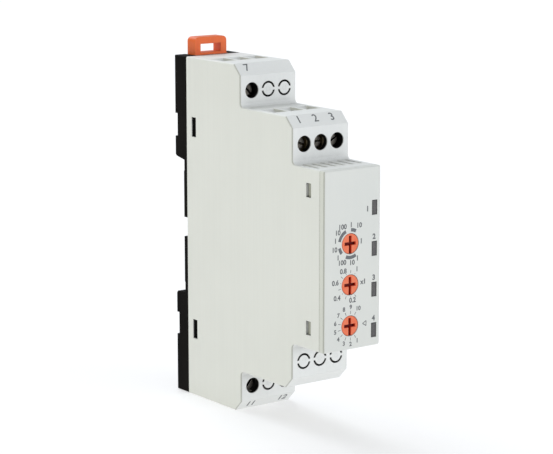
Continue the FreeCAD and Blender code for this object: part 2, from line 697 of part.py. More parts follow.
def make_cover():
    """The front plate with its rim, dial holes, indicator windows, skirt and snap arms."""
    body = new_body("cover_moulding")
    outline = new_sketch(body, "cover_outline", "XZ_Plane", f"-{JOINT} + fit_gap")
    draw_rectangle(outline, (f"-{HALF_WIDTH}", HALF_WIDTH), (f"-{FRONT_TOP}", FRONT_TOP))
    pad(body, outline, "cover_depth - fit_gap")
    document.recompute()
    rear = body.Shape.BoundBox.YMax

    def not_at_joint(middle, direction):
        return abs(middle.y - rear) > 1e-6

    round_edges(body, "cover_edges", "edge_radius", not_at_joint)
    inside = block("cover_inside", about("0", f"{INNER_HALF} - fit_gap - skirt_wall"),
                   (f"{FRONT} + cover_plate", f"{JOINT} + {PAST}"),
                   about("0", f"{FRONT_TOP} - shell_wall - fit_gap - skirt_wall"))
    plate = cut_away("cover_plate_with_rim", body, [inside])
    extras = [skirt("cover", (f"{JOINT} - fit_gap - {ROOTED}", f"{JOINT} + skirt_depth"),
                    f"{FRONT_TOP} - shell_wall - fit_gap")]
    tab_depth, tab_height = COVER_TAB
    arm = (f"{FRONT} + cover_plate - {ROOTED}", tab_depth[1])
    extras += snap_arms("cover", arm, tab_depth, tab_height, "tab_sunk")
    openings = []
    through = (f"{FRONT} - {PAST}", f"{JOINT} + {PAST}")
    for number in range(len(SWITCHES)):
        openings.append(rod("dial_hole", "y", *through, (DIAL_X, dial_z(number)), "knob_radius + knob_gap"))
    for number in range(WINDOW_COUNT):
        openings.append(window_block(number, ("window_near - fit_gap", "window_far + fit_gap"),
                                     (f"{FRONT} - {PAST}", f"{FRONT} + window_lens + fit_gap"), "fit_gap"))
        behind_lens = (f"{FRONT} + window_lens - fit_gap", f"{JOINT} + skirt_depth + {PAST}")
        openings.append(window_block(number, ("pipe_near - fit_gap", "window_near + pipe_width / 2"),
                                     behind_lens, "fit_gap"))
    node(cut_away("cover", joined("cover_whole", [plate] + extras), openings), "front_cover")


# ---------------------------------------------------------------- indicators

def make_indicators():
    """Four grey windows, each one moulding with a light pipe back to its LED."""
    lamps = []
    lens_rear = f"{FRONT} + window_lens"
    plate_rear = f"{FRONT} + cover_plate"
    lamp_front = f"{FRONT} + panel_board_start - led_depth"
    across_pipe = ("pipe_near", "pipe_near + pipe_width")
    for number in range(WINDOW_COUNT):
        lens = window_block(number, ("window_near", "window_far"), (f"{FRONT} + fit_gap", lens_rear), "0")
        neck = window_block(number, ("pipe_near", "window_near + pipe_width / 2 - fit_gap"),
                            (lens_rear, plate_rear), "0")
        pipe = window_block(number, across_pipe, (plate_rear, f"{lamp_front} - fit_gap"), "-0.5")
        node(joined(f"window_{number}", [lens, neck, pipe]), f"indicator_window_{number + 1}")
        lamps.append(window_block(number, across_pipe, (lamp_front, f"{FRONT} + panel_board_start"), "-0.8"))
    node(grouped("lamps", lamps), "indicator_leds")


# ---------------------------------------------------------------- knobs, rotors, switches

FACING_FRONT = Rotation(Vector(1, 0, 0), 90)


def make_knob(number, name):
    """A disc with a cross slot whose lowest arm runs to the rim, a flange, a stem and a square key."""
    body = new_body(f"{name}_knob_body")
    outline = new_sketch(body, f"{name}_knob_outline", "XZ_Plane")
    behind = "-(cover_plate + fit_gap)"
    stem_end = "-rotor_front"
    draw_polygon(outline, [
        ("0", stem_end),
        ("knob_stem", stem_end),
        ("knob_stem", f"{behind} - knob_flange_depth"),
        ("knob_flange", f"{behind} - knob_flange_depth"),
        ("knob_flange", behind),
        ("knob_radius", behind),
        ("knob_radius", "-knob_bevel"),
        ("knob_radius - knob_bevel", "0"),
        ("0", "0"),
    ])
    revolve(body, outline)
    key = new_sketch(body, f"{name}_knob_key", "XY_Plane", f"-(rotor_front + key_length)")
    draw_rectangle(key, about("0", "key_side / 2"), about("0", "key_side / 2"))
    pad(body, key, "key_length + 0.1")
    level = new_sketch(body, f"{name}_cross_level", "XY_Plane")
    draw_rectangle(level, about("0", "cross_reach"), about("0", "cross_width / 2"))
    pocket(body, level, "cross_depth")
    upright = new_sketch(body, f"{name}_cross_upright", "XY_Plane")
    draw_rectangle(upright, about("0", "cross_width / 2"), ("-(knob_radius + 1)", "cross_reach + 0.15"))
    pocket(body, upright, "cross_depth")
    place(body, DIAL_X, FRONT, dial_z(number), FACING_FRONT)
    node(body, f"{name}_knob")


def make_rotor(number, name):
    """The turning wiper disc behind a knob, with a square socket for the knob's key."""
    body = new_body(f"{name}_rotor_body")
    disc = new_sketch(body, f"{name}_rotor_disc", "XY_Plane", "-(rotor_front + rotor_depth)")
    draw_circle(disc, ("0", "0"), "rotor_radius")
    pad(body, disc, "rotor_depth - fit_gap")
    socket = new_sketch(body, f"{name}_rotor_socket", "XY_Plane", "-rotor_front")
    draw_rectangle(socket, about("0", "key_side / 2 + fit_gap"), about("0", "key_side / 2 + fit_gap"))
    pocket(body, socket, "key_length + fit_gap")
    place(body, DIAL_X, FRONT, dial_z(number), FACING_FRONT)
    node(body, f"{name}_rotor")


def make_switch(number, name, label, terminals):
    """The fixed body of a rotary switch or potentiometer, seated on the front board."""
    z = dial_z(number)
    front = f"{FRONT} + switch_front"
    seat = f"{FRONT} + panel_board_start"
    case = block(f"{name}_case", about(DIAL_X, "switch_width / 2"), (front, seat),
                 about(z, SWITCH_HALF))
    well = (f"{front} - {PAST}", f"{FRONT} + rotor_front + rotor_depth + fit_gap")
    cuts = [rod(f"{name}_well", "y", *well, (DIAL_X, z), "rotor_radius + running_gap")]
    step = (f"{front} - {PAST}", f"{front} + switch_step")
    for hand in (1, -1):
        edge = f"{DIAL_X} + {hand} * switch_width / 2"
        cuts.append(block(f"{name}_step", about(edge, "switch_step"), step,
                          about(z, f"{SWITCH_HALF} - switch_step")))
    pieces = [cut_away(f"{name}_hollowed", case, cuts)]
    lower_edge = f"{z} - {SWITCH_HALF}"
    for pin in range(terminals):
        x = f"({DIAL_X} + ({pin} - {(terminals - 1) / 2}) * switch_pin_pitch)"
        pieces.append(block(f"{name}_pin", about(x, "switch_pin_half"), (f"{seat} - {PAST}", seat),
                            (f"{lower_edge} - switch_pin_out", f"{lower_edge} + {ROOTED}")))
    node(joined(f"{name}_switch_whole", pieces), label)


# ---------------------------------------------------------------- terminals

def make_screw(pole):
    """A slotted clamp screw: head with a bevelled edge, shank, pointed end."""
    body = new_body(f"{pole.name}_screw_body")
    outline = new_sketch(body, f"{pole.name}_screw_outline", "XZ_Plane")
    end = "-(head_height + screw_length)"
    draw_polygon(outline, [
        ("0", end),
        ("screw_radius - screw_point", end),
        ("screw_radius", f"{end} + screw_point"),
        ("screw_radius", "-head_height"),
        ("head_radius", "-head_height"),
        ("head_radius", "-head_bevel"),
        ("head_radius - head_bevel", "0"),
        ("0", "0"),
    ])
    revolve(body, outline)
    slot = new_sketch(body, f"{pole.name}_screw_slot", "XY_Plane")
    draw_rectangle(slot, about("0", "head_radius + 1"), about("0", "slot_width / 2"))
    pocket(body, slot, "slot_depth")
    x, face, z = pole_place(pole)
    slot_turn = Rotation(Vector(0, 0, 1), 40 + 25 * pole.rank)
    place(body, x, f"{face} + head_depth", z, FACING_FRONT.multiply(slot_turn))
    node(body, f"{pole.name}_screw")


def make_cage(pole):
    """The rising clamp: a ring open along the wire, with a threaded front wall."""
    body = new_body(f"{pole.name}_cage_body")
    ring = new_sketch(body, f"{pole.name}_cage_ring", "XY_Plane")
    half = "cage_width / 2"
    inner_front = f"({CAGE_FRONT} + cage_nut)"
    inner_rear = f"({BAR_FRONT} + strip + wire_gap)"
    draw_rectangle(ring, about("0", half), (CAGE_FRONT, f"{inner_rear} + cage_floor"))
    draw_rectangle(ring, about("0", f"{half} - cage_side"), (inner_front, inner_rear))
    pad(body, ring, "cage_length", symmetric=True)
    thread = new_sketch(body, f"{pole.name}_cage_thread", "XZ_Plane", f"-({CAGE_FRONT} - 1)")
    draw_circle(thread, ("0", "0"), "screw_radius + thread_gap")
    pocket(body, thread, "cage_nut + 2")
    x, face, z = pole_place(pole)
    place(body, x, face, z)
    node(body, f"{pole.name}_cage")


def make_contact(pole):
    """One flat stamping: bar through the cage, tail, foot into the main board; and a guide leg."""
    x, face, z = pole_place(pole)
    axis = TIER_AXIS[pole.tier]
    flat = (f"{face} + {BAR_FRONT}", f"{face} + {BAR_FRONT} + strip")
    wide_low = f"{axis} - shoulder_low"
    wide_high = f"{axis} - cage_length / 2 - shoulder_gap"
    outer = "(pole_pitch / 2 - partition / 2 - fit_gap)"
    tail = tail_x(pole)
    foot = foot_low(pole)
    guide_x = mirrored(pole.guide_side, f"{outer} - guide", outer)
    pieces = [
        block("bar", about(x, "bar_width / 2"), flat, mirrored(pole.side, wide_low, f"{axis} + bar_reach")),
        block("shoulder", about(x, outer), flat, mirrored(pole.side, wide_low, wide_high)),
        block("tail", about(tail, "tail_width / 2"), flat, mirrored(pole.side, foot, wide_high)),
        block("foot", (f"{tail} - tail_width / 2", "board_side"), flat,
              mirrored(pole.side, foot, f"{foot} + tail_width")),
        block("pin", (f"board_side - {ROOTED}", f"{BOARD_FAR} + {ROOTED}"), flat,
              mirrored(pole.side, f"{foot} + pin_inset_side", f"{foot} + tail_width - pin_inset_side")),
        block("guide_leg", tuple(f"{x} + {edge}" for edge in guide_x),
              (f"{face} + shell_wall + fit_gap", flat[1]),
              mirrored(pole.side, wide_low, f"{axis} + guide_high")),
    ]
    node(joined(f"{pole.name}_stamping", pieces), f"{pole.name}_contact")


def contact_pin_hole(pole):
    """The hole in the main board for a contact's pin."""
    centre = (f"{TIER_FACE[pole.tier]} + {BAR_FRONT} + strip / 2",
              f"({pole.side} * ({foot_low(pole)} + tail_width / 2))")
    return rod("contact_hole", "x", *THROUGH_MAIN, centre, "strip / 2 + pin_inset_side")


# ---------------------------------------------------------------- circuit boards and what they carry

PANEL_BOARD_REAR = f"({FRONT} + panel_board_start + board)"
HEADER_MAIN_Y = f"({PANEL_BOARD_REAR} + pin_reach)"
HEADER_FRONT_X = "(board_side - pin_inset)"
RELAY_Y = f"({FRONT} + relay_place)"
RELAY_PINS = [(-8.4, -3.6), (-8.4, 3.6), (3.2, -3.6), (8.4, 0), (3.2, 3.6)]


def header_z(number):
    return f"(({number} - (header_pins - 1) / 2) * header_pitch)"


def make_main_board():
    """The large board, parallel to the sides, as tall all along as the room between the chambers."""
    body = new_body("main_board_blank")
    low, high = (f"{TIER_AXIS[tier]} - chamber_reach - chamber_floor - board_margin"
                 for tier in ("second", "first"))
    stages = [
        ("front", f"{FRONT} + board_start", low),
        ("middle", f"{FRONT} + board_step", f"{SECOND_TOP} - shell_wall - board_shoulder"),
        ("rear", f"{FIRST_FACE} + shell_wall", high),
    ]
    for name, start, reach in stages:
        outline = new_sketch(body, f"main_board_{name}", "YZ_Plane", "board_side")
        draw_rectangle(outline, (start, f"{HOUSING_REAR} - board_rear_gap"), about("0", reach))
        pad(body, outline, "board")
    holes = [contact_pin_hole(pole) for pole in POLES]
    for number in range(int(size("header_pins"))):
        spot = (HEADER_MAIN_Y, header_z(number))
        holes.append(rod("header_hole", "x", *THROUGH_MAIN, spot, "pin_half * 1.6"))
    for y, z in RELAY_PINS:
        spot = (f"({RELAY_Y} + {y})", f"({z})")
        holes.append(rod("relay_hole", "x", *THROUGH_MAIN, spot, "lead_half * 2"))
    node(cut_away("main_board_drilled", body, holes), "main_board")


def make_front_board():
    """The small board behind the front, which carries the switches and LEDs."""
    body = new_body("front_board_blank")
    outline = new_sketch(body, "front_board_outline", "XZ_Plane", f"-{PANEL_BOARD_REAR}")
    draw_rectangle(outline, about("0", "panel_board_half"), about("0", f"{FRONT_TOP} - panel_board_gap"))
    pad(body, outline, "board - fit_gap")
    through = (f"{FRONT} + panel_board_start - {PAST}", f"{PANEL_BOARD_REAR} + {PAST}")
    holes = []
    for number in range(int(size("header_pins"))):
        holes.append(rod("front_hole", "y", *through, (HEADER_FRONT_X, header_z(number)), "pin_half * 1.6"))
    node(cut_away("front_board_drilled", body, holes), "front_board")


def bent_pin(number, grow):
    """One right-angle pin, from the front board to the main board, or the channel it lies in."""
    half = f"pin_half + {grow}"
    tall = about(header_z(number), half)
    forward = block("pin_forward", about(HEADER_FRONT_X, half),
                    (f"{PANEL_BOARD_REAR} - board + {ROOTED}", f"{HEADER_MAIN_Y} + {half}"), tall)
    across = block("pin_across", (f"{HEADER_FRONT_X} - ({half})", f"{BOARD_FAR} + {ROOTED}"),
                   about(HEADER_MAIN_Y, half), tall)
    return joined("bent_pin", [forward, across])


def make_header():
    """The right-angle header that joins the two boards: a plastic bar and its bent pins."""
    bar = block("header_bar", ("board_side - header_pitch", "board_side"),
                (PANEL_BOARD_REAR, f"{PANEL_BOARD_REAR} + header_rise"),
                about("0", "header_pins * header_pitch / 2"))
    numbers = range(int(size("header_pins")))
    channels = [bent_pin(number, "fit_gap") for number in numbers]
    node(cut_away("header_moulding", bar, channels), "board_header")
    node(grouped("header_pin_row", [bent_pin(number, "0") for number in numbers]), "header_pins")


def make_relay():
    """A small power relay: a cover with rounded edges on five pins through the board."""
    body = new_body("relay_case")
    outline = new_sketch(body, "relay_outline", "YZ_Plane", "board_side - relay_rise")
    draw_rectangle(outline, about(RELAY_Y, "relay_length / 2"), about("0", "relay_breadth / 2"))
    pad(body, outline, "relay_rise - stand_off / 2")
    board_face = size("board_side")

    def away_from_board(middle, direction):
        return middle.x < board_face - 1

    round_edges(body, "relay_edges", "edge_radius", away_from_board)
    pins = []
    for y, z in RELAY_PINS:
        pins.append(block("relay_pin", (f"board_side - stand_off - {ROOTED}", f"{BOARD_FAR} + {ROOTED}"),
                          about(f"({RELAY_Y} + {y})", "lead_half"), about(f"({z})", "lead_half")))
    node(joined("relay_whole", [body] + pins), "relay")


def lead(y, z, reach=f"stand_off + {ROOTED}"):
    """A component's lead, from inside its case to the component side of the main board."""
    depth = (f"board_side - ({reach})", "board_side")
    return block("lead", depth, about(y, "lead_half"), about(z, "lead_half"))


def make_can(label, depth, height, radius, length):
    """An electrolytic capacitor: a can with a crimped neck, standing off the main board."""
    body = new_body(f"{label}_can")
    outline = new_sketch(body, f"{label}_outline", "XZ_Plane")
    inner = f"{radius} - can_bevel"
    draw_polygon(outline, [
        ("0", "0"), (inner, "0"), (radius, "can_bevel"), (radius, "can_crimp - can_crimp_half"),
        (inner, "can_crimp"), (radius, "can_crimp + can_crimp_half"), (radius, f"{length} - can_bevel"),
        (inner, length), ("0", length),
    ])
    revolve(body, outline)
    place(body, "board_side - stand_off", f"{FRONT} + {depth}", height, Rotation(Vector(0, 1, 0), -90))
    leads = [lead(f"({FRONT} + {depth} + {hand} * {radius / 2})", f"({height})") for hand in (-1, 1)]
    node(joined(f"{label}_whole", [body] + leads), label)


def make_box_capacitor():
    """The film capacitor that drops the supply voltage."""
    y = f"({FRONT} + film_place)"
    case = block("film_case", ("board_side - film_rise", "board_side - stand_off"),
                 about(y, "film_length / 2"), about("(-film_drop)", "film_breadth / 2"))
    feet = [lead(f"({y} + {hand} * film_leads / 2)", "(-film_drop)") for hand in (-1, 1)]
    node(joined("film_whole", [case] + feet), "supply_capacitor")


def make_varistor():
    """A disc varistor that stands on two leads, one at each face of the disc."""
    y = f"({HOUSING_REAR} - power_inset)"
    disc = rod("varistor_disc", "z", *about("-varistor_drop", "varistor_thick / 2"),
               ("board_side - varistor_rise", y), "varistor_radius")
    leads = []
    for hand in (-1, 1):
        z = f"(-varistor_drop + {hand} * (varistor_thick / 2 - 2 * lead_half))"
        leads.append(lead(f"({y} + {hand} * varistor_leads / 2)", z, "varistor_rise - varistor_radius / 3"))
    node(joined("varistor_whole", [disc] + leads), "varistor")


def make_bridge():
    """A four-legged bridge rectifier in a flat case."""
    y = f"({HOUSING_REAR} - power_inset)"
    case = block("bridge_case", ("board_side - bridge_rise", "board_side - stand_off"),
                 about(y, "bridge_breadth / 2"), about("(-bridge_drop)", "bridge_length / 2"))
    legs = []
    for hand in (-1, 1):
        for end in (-1, 1):
            legs.append(lead(f"({y} + {hand} * (bridge_breadth / 2 - lead_half))",
                             f"(-bridge_drop + {end} * bridge_leads / 2)"))
    node(joined("bridge_whole", [case] + legs), "bridge_rectifier")


def make_fuse_resistor():
    """An axial fusible resistor whose leads bend down to the board."""
    y = f"({HOUSING_REAR} - power_inset + 1)"
    x = "(board_side - fuse_rise)"
    pieces = [rod("fuse_body", "z", "-fuse_length / 2", "fuse_length / 2", (x, y), "fuse_radius")]
    for hand in (1, -1):
        out = mirrored(hand, f"fuse_length / 2 - {ROOTED}", "fuse_leads / 2 + lead_half")
        pieces.append(block("fuse_lead", about(x, "lead_half"), about(y, "lead_half"), out))
        pieces.append(lead(y, f"({hand} * fuse_leads / 2)", "fuse_rise + lead_half"))
    node(joined("fuse_whole", pieces), "fuse_resistor")


def make_microcontroller():
    """A surface-mounted chip with a row of eight legs along each side."""
    y = f"({FRONT} + chip_place)"
    legs_in_row = 8
    pieces = [block("chip_case", ("board_side - chip_rise", "board_side - stand_off / 2"),
                    about(y, "chip_breadth / 2"), about("0", "chip_length / 2"))]
    for hand in (1, -1):
        across = about(f"({y} + {hand} * chip_breadth / 2)", "chip_leg")
        for number in range(legs_in_row):
            z = f"({number - (legs_in_row - 1) / 2} * chip_pitch)"
            pieces.append(block("chip_leg", ("board_side - stand_off", "board_side"), across,
                                about(z, "lead_half / 2")))
    node(joined("chip_whole", pieces), "microcontroller")


def make_transistor(label, height):
    """A three-legged plastic transistor case, flat on its rear side."""
    y = f"({HOUSING_REAR} - power_inset)"
    barrel = rod(f"{label}_barrel", "x", "board_side - case_rise", "board_side - 3 * stand_off", (y, height),
                 "case_radius")
    flat = block(f"{label}_flat", (f"board_side - case_rise - {PAST}", "board_side"),
                 (f"{y} + case_flat", f"{y} + case_radius + {PAST}"),
                 about(f"({height})", f"case_radius + {PAST}"))
    pieces = [cut_away(f"{label}_case", barrel, [flat])]
    for number in (-1, 0, 1):
        pieces.append(lead(y, f"({height} + {number} * chip_pitch)", f"3 * stand_off + {ROOTED}"))
    node(joined(f"{label}_whole", pieces), label)


def make_chip_resistors():
    """Six small surface-mounted resistors in front of the microcontroller."""
    count = 6
    chips = []
    for number in range(count):
        z = f"({number - (count - 1) / 2} * resistor_pitch)"
        chips.append(block("chip_resistor", ("board_side - resistor_rise", "board_side"),
                           about(f"({FRONT} + resistor_place)", "resistor_pitch / 2"),
                           about(z, "resistor_pitch / 3")))
    node(grouped("chip_resistor_row", chips), "chip_resistors")


# ---------------------------------------------------------------- base, latch, spring

LATCH_HALF = "(latch_width / 2)"
LATCH_TOP = f"({FIRST_TOP} + latch_out)"
LOOP_LOW = f"({FIRST_TOP} + loop_low)"
CHANNEL_HALF = f"({LATCH_HALF} + latch_gap)"
RAIL_HALF = "(rail_height / 2)"
GRIP = f"({RAIL_HALF} + rail_gap)"
HOOK_FRONT = "(rail_thickness + rail_gap * 2)"
PLATE_REAR = "(-seat_raise)"
BLOCK_LOW = f"({GRIP} + block_clear)"
RECESS = (f"{RAIL_HALF} + recess_start", f"{RAIL_HALF} + recess_start + recess_height")
RIBS = (f"{RAIL_HALF} + rib_start", f"{RAIL_HALF} + rib_start + rib_length")
POCKET_LOW = f"({RAIL_HALF} + pocket_start)"
ANCHOR = (f"{POCKET_LOW} + spring_room", f"{POCKET_LOW} + spring_room + anchor_height")


def base_outline():
    """The side outline of the base: a plate, a block with the latch above, a block with the hook below."""
    upper = [
        (PLATE_REAR, BLOCK_LOW),
        (f"{REAR} - lead_in", f"{BLOCK_LOW} + lead_in"),
        (REAR, f"{BLOCK_LOW} + 2 * lead_in"),
    ]
    recess_near, recess_far = RECESS
    recess = [
        (REAR, recess_near),
        (f"{REAR} - recess_depth", recess_near),
        (f"{REAR} - recess_depth", recess_far),
        (REAR, recess_far),
    ]
    end = [(REAR, FIRST_TOP), (HOUSING_REAR, FIRST_TOP)]
    mirror_end = [(HOUSING_REAR, f"-{FIRST_TOP}"), (REAR, f"-{FIRST_TOP}")]
    mirror_recess = [(y, f"-({z})") for y, z in reversed(recess)]
    lower = [
        (REAR, f"-({GRIP} + 2 * lead_in)"),
        (f"{REAR} - lead_in", f"-({GRIP} + lead_in / 2)"),
        (PLATE_REAR, f"-{GRIP}"),
    ]
    return upper + recess + end + mirror_end + mirror_recess + lower


def make_base():
    body = new_body("base_moulding")
    outline = new_sketch(body, "base_outline", "YZ_Plane")
    draw_polygon(outline, base_outline())
    pad(body, outline, "width", symmetric=True)
    rear = size("hook_depth")
    top = size("height") / 2

    def rear_corner(middle, direction):
        upright = abs(direction.z) > 0.99 and abs(middle.y - rear) < 1e-6
        outer = abs(direction.y) > 0.99 and abs(abs(middle.z) - top) < 1e-6
        return upright or outer

    round_edges(body, "base_edges", "edge_radius", rear_corner)

    reach = f"({FIRST_TOP} - shell_wall - fit_gap)"
    additions = [
        block("seat_land", ACROSS, (f"{PLATE_REAR} - {ROOTED}", "0"),
              about("0", f"{RAIL_HALF} - seat_margin")),
        skirt("base", (f"{HOUSING_REAR} - skirt_depth", f"{HOUSING_REAR} + {ROOTED}"), reach),
    ]
    tab_depth, tab_height = BASE_TAB
    arm = (tab_depth[0], f"{HOUSING_REAR} + {ROOTED}")
    additions += snap_arms("base", arm, tab_depth, tab_height, "(3 * fit_gap)")
    cuts = [
        block("channel", about("0", CHANNEL_HALF), ("-(latch_front + latch_gap)", f"{REAR} + {PAST}"),
              (GRIP, f"{FIRST_TOP} + {PAST}")),
        block("grooves", about("0", f"{CHANNEL_HALF} + rib_reach"),
              ("rib_near - latch_gap", "rib_near + rib_thickness + latch_gap"),
              (f"{RIBS[0]} - fit_gap", f"{RIBS[1]} + latch_travel + fit_gap")),
    ]
    for hand in (1, -1):
        outer = f"{HALF_WIDTH} + {PAST}"
        cuts.append(block("seat_notch", mirrored(hand, INNER_HALF, outer), (HOUSING_REAR, f"{PAST}"),
                          about("0", "notch_half")))
        cuts.append(block("core", mirrored(hand, "core_rib_half", f"{HALF_WIDTH} - core_inset"),
                          (HOOK_FRONT, f"{REAR} + {PAST}"),
                          (f"-({FIRST_TOP} - core_inset)", f"-({RECESS[1]} + core_inset)")))
    shaped = cut_away("base_cut", joined("base_with_land", [body] + additions), cuts)
    anchor = block("anchor", about("0", "pocket_half - 2 * latch_gap"),
                   (f"-(latch_front + latch_gap + {ROOTED})", "latch_rear - 2 * latch_gap"), ANCHOR)
    node(joined("base", [shaped, anchor, make_fixed_hook()]), "rear_base")


def hook_profile(body, name, side, rear):
    """A hook over the rail's rear, with a sloped lead: its outline seen from the side."""
    outline = new_sketch(body, name, "YZ_Plane")
    root = f"({side} * ({GRIP} + nose_root))"
    tip = f"({side} * ({GRIP} - nose_reach))"
    lower = f"({side} * ({GRIP} - nose_reach + nose_slope))"
    draw_polygon(outline, [(HOOK_FRONT, root), (HOOK_FRONT, tip), (f"{HOOK_FRONT} + nose_flat", tip),
                           (rear, lower), (rear, root)])
    return outline


def make_fixed_hook():
    body = new_body("fixed_hook")
    outline = hook_profile(body, "fixed_hook_outline", -1, f"{REAR} - lead_in")
    pad(body, outline, "latch_width", symmetric=True)
    return body


def make_latch():
    """The sliding latch: pull loop on top, ribs that run in the grooves, spring pocket, sloped nose."""
    body = new_body("latch_moulding")
    depth = "latch_front + latch_rear"
    outline = new_sketch(body, "latch_outline", "XZ_Plane", "-latch_rear")
    draw_rectangle(outline, (f"-{LATCH_HALF}", LATCH_HALF), (f"{GRIP} + latch_clear", LATCH_TOP))
    pad(body, outline, depth)
    top = size("height") / 2 + size("latch_out")

    def loop_corner(middle, direction):
        return abs(direction.y) > 0.99 and abs(middle.z - top) < 1e-6

    round_edges(body, "latch_corners", "latch_radius", loop_corner)
    ribs = new_sketch(body, "latch_ribs", "XZ_Plane", "-(rib_near + rib_thickness)")
    draw_rectangle(ribs, about("0", f"{LATCH_HALF} + rib_reach"), RIBS)
    pad(body, ribs, "rib_thickness")
    pad(body, hook_profile(body, "latch_nose", 1, "latch_rear"), "latch_width", symmetric=True)
    front = "(latch_front + 1)"
    loop = new_sketch(body, "loop_window", "XZ_Plane", front)
    draw_rectangle(loop, about("0", "loop_width / 2"), (LOOP_LOW, f"{LOOP_LOW} + loop_height"))
    pocket(body, loop, f"{depth} + 2")
    set_back = new_sketch(body, "loop_front", "XZ_Plane", front)
    draw_rectangle(set_back, about("0", "latch_width"), (f"{FIRST_TOP} + fit_gap", f"{LATCH_TOP} + 1"))
    pocket(body, set_back, "loop_set_back + 1")
    well = new_sketch(body, "spring_pocket", "XZ_Plane", front)
    draw_rectangle(well, about("0", "pocket_half"), (POCKET_LOW, f"{ANCHOR[1]} + pocket_room"))
    pocket(body, well, f"{depth} + 2")
    node(body, "rail_latch")


def make_spring():
    """The compression spring between the pocket's floor and the anchor on the base."""
    coil = document.addObject("Part::Helix", "spring_line")
    bind(coil, "Radius", "spring_radius")
    length = "(spring_room - 2 * (spring_wire + fit_gap))"
    bind(coil, "Height", length)
    bind(coil, "Pitch", f"{length} / spring_turns")
    wire = document.addObject("Part::Circle", "spring_section")
    bind(wire, "Radius", "spring_wire")
    place(wire, "spring_radius", "0", "0", Rotation(Vector(1, 0, 0), 90))
    sweep = document.addObject("Part::Sweep", "spring_sweep")
    sweep.Sections = [wire]
    sweep.Spine = (coil, ["Edge1"])
    sweep.Solid = True
    sweep.Frenet = True
    place(sweep, "0", "(latch_rear - latch_front) / 2", f"{POCKET_LOW} + spring_wire + fit_gap")
    node(sweep, "latch_spring")


# ---------------------------------------------------------------- the whole timer

make_housing()
make_cover()
make_base()
make_latch()
make_spring()
for index, (switch, switch_label, switch_pins) in enumerate(SWITCHES):
    make_knob(index, switch)
    make_rotor(index, switch)
    make_switch(index, switch, switch_label, switch_pins)
make_indicators()
make_front_board()
make_main_board()
make_header()
make_relay()
make_box_capacitor()
make_can("smoothing_capacitor", 17.9, 13.5, 4.0, 11.0)
make_can("timing_capacitor", 16.5, -8.8, 2.5, 10.0)
make_varistor()
make_bridge()
make_fuse_resistor()
make_microcontroller()
make_transistor("voltage_regulator", 13)
make_transistor("relay_driver", 22)
make_chip_resistors()
for each_pole in POLES:
    make_screw(each_pole)
    make_cage(each_pole)
    make_contact(each_pole)

document.recompute()
for item in document.Objects:
    if any(flag in item.State for flag in ("Invalid", "Error")):
        raise RuntimeError(f"{item.Name} is {item.State}")
for item in NODES:
    if item.Shape.isNull() or not item.Shape.isValid() or not item.Shape.Solids:
        raise RuntimeError(f"{item.Label} has no valid solid")

os.makedirs("parts", exist_ok=True)
for item in NODES:
    item.Shape.exportStep(f"parts/{item.Label}.step")
print(len(NODES), "sub-parts written")
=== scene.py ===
"""Looks for a one-module timer on a 35 mm rail, built round the frame of its solid parts.

The frame's origin is the middle of the rail seat: +Y into the rail, +Z up, +X to the right of someone
who faces the front. Shapes are worked out in millimetres and stored in metres.
"""

import math

import bmesh
import bpy
import numpy as np
from mathutils import Matrix, Vector


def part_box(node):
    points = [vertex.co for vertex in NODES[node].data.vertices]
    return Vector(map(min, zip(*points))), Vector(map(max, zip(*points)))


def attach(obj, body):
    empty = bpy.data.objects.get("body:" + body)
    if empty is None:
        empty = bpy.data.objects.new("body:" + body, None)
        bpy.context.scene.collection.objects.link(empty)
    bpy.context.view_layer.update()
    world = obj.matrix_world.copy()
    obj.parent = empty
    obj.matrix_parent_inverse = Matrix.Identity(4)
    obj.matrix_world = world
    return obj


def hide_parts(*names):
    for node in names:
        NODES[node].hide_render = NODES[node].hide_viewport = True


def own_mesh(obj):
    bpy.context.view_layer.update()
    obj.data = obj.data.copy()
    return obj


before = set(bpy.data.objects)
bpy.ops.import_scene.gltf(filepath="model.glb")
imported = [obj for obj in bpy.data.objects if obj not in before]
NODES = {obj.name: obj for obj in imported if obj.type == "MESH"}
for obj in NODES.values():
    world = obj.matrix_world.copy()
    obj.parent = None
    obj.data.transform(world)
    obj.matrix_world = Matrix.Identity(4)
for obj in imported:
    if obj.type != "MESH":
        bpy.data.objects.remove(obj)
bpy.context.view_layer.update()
MM = 0.001


def box_mm(node):
    """The lowest and highest corner of a node at rest, in millimetres."""
    low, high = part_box(node)
    return np.array(low) / MM, np.array(high) / MM


# ---------------------------------------------------------------- places taken from the frame

DIALS = ("range", "time", "mode")
POLES = ("supply_top", "output_left", "output_middle", "output_right", "supply_bottom_left",
         "supply_bottom_right")
WINDOWS = [f"indicator_window_{number}" for number in (1, 2, 3, 4)]
FRONT_Y = box_mm("front_cover")[0][1]
TOP_Z = box_mm("housing_shell")[1][2]
SECOND_FACE_Y = FRONT_Y + 12.7
FIRST_FACE_Y = FRONT_Y + 34.5
SECOND_TOP_Z = 34.2
FIRST_HOLE_Z = 38.35
SECOND_HOLE_Z = 27.35
SIDE_X = box_mm("housing_shell")[1][0]
SCREW_BORES = ((FIRST_FACE_Y, FIRST_HOLE_Z), (SECOND_FACE_Y, SECOND_HOLE_Z))
BORE_RADIUS = 2.1
TIER_CHAMFER = 2.8
ENTRY_SET_BACK = TIER_CHAMFER + 0.5
FRONT_TOP_Z = 22.5
SLIT_DEPTH, ENTRY_DEPTH = 1.9, 5.5
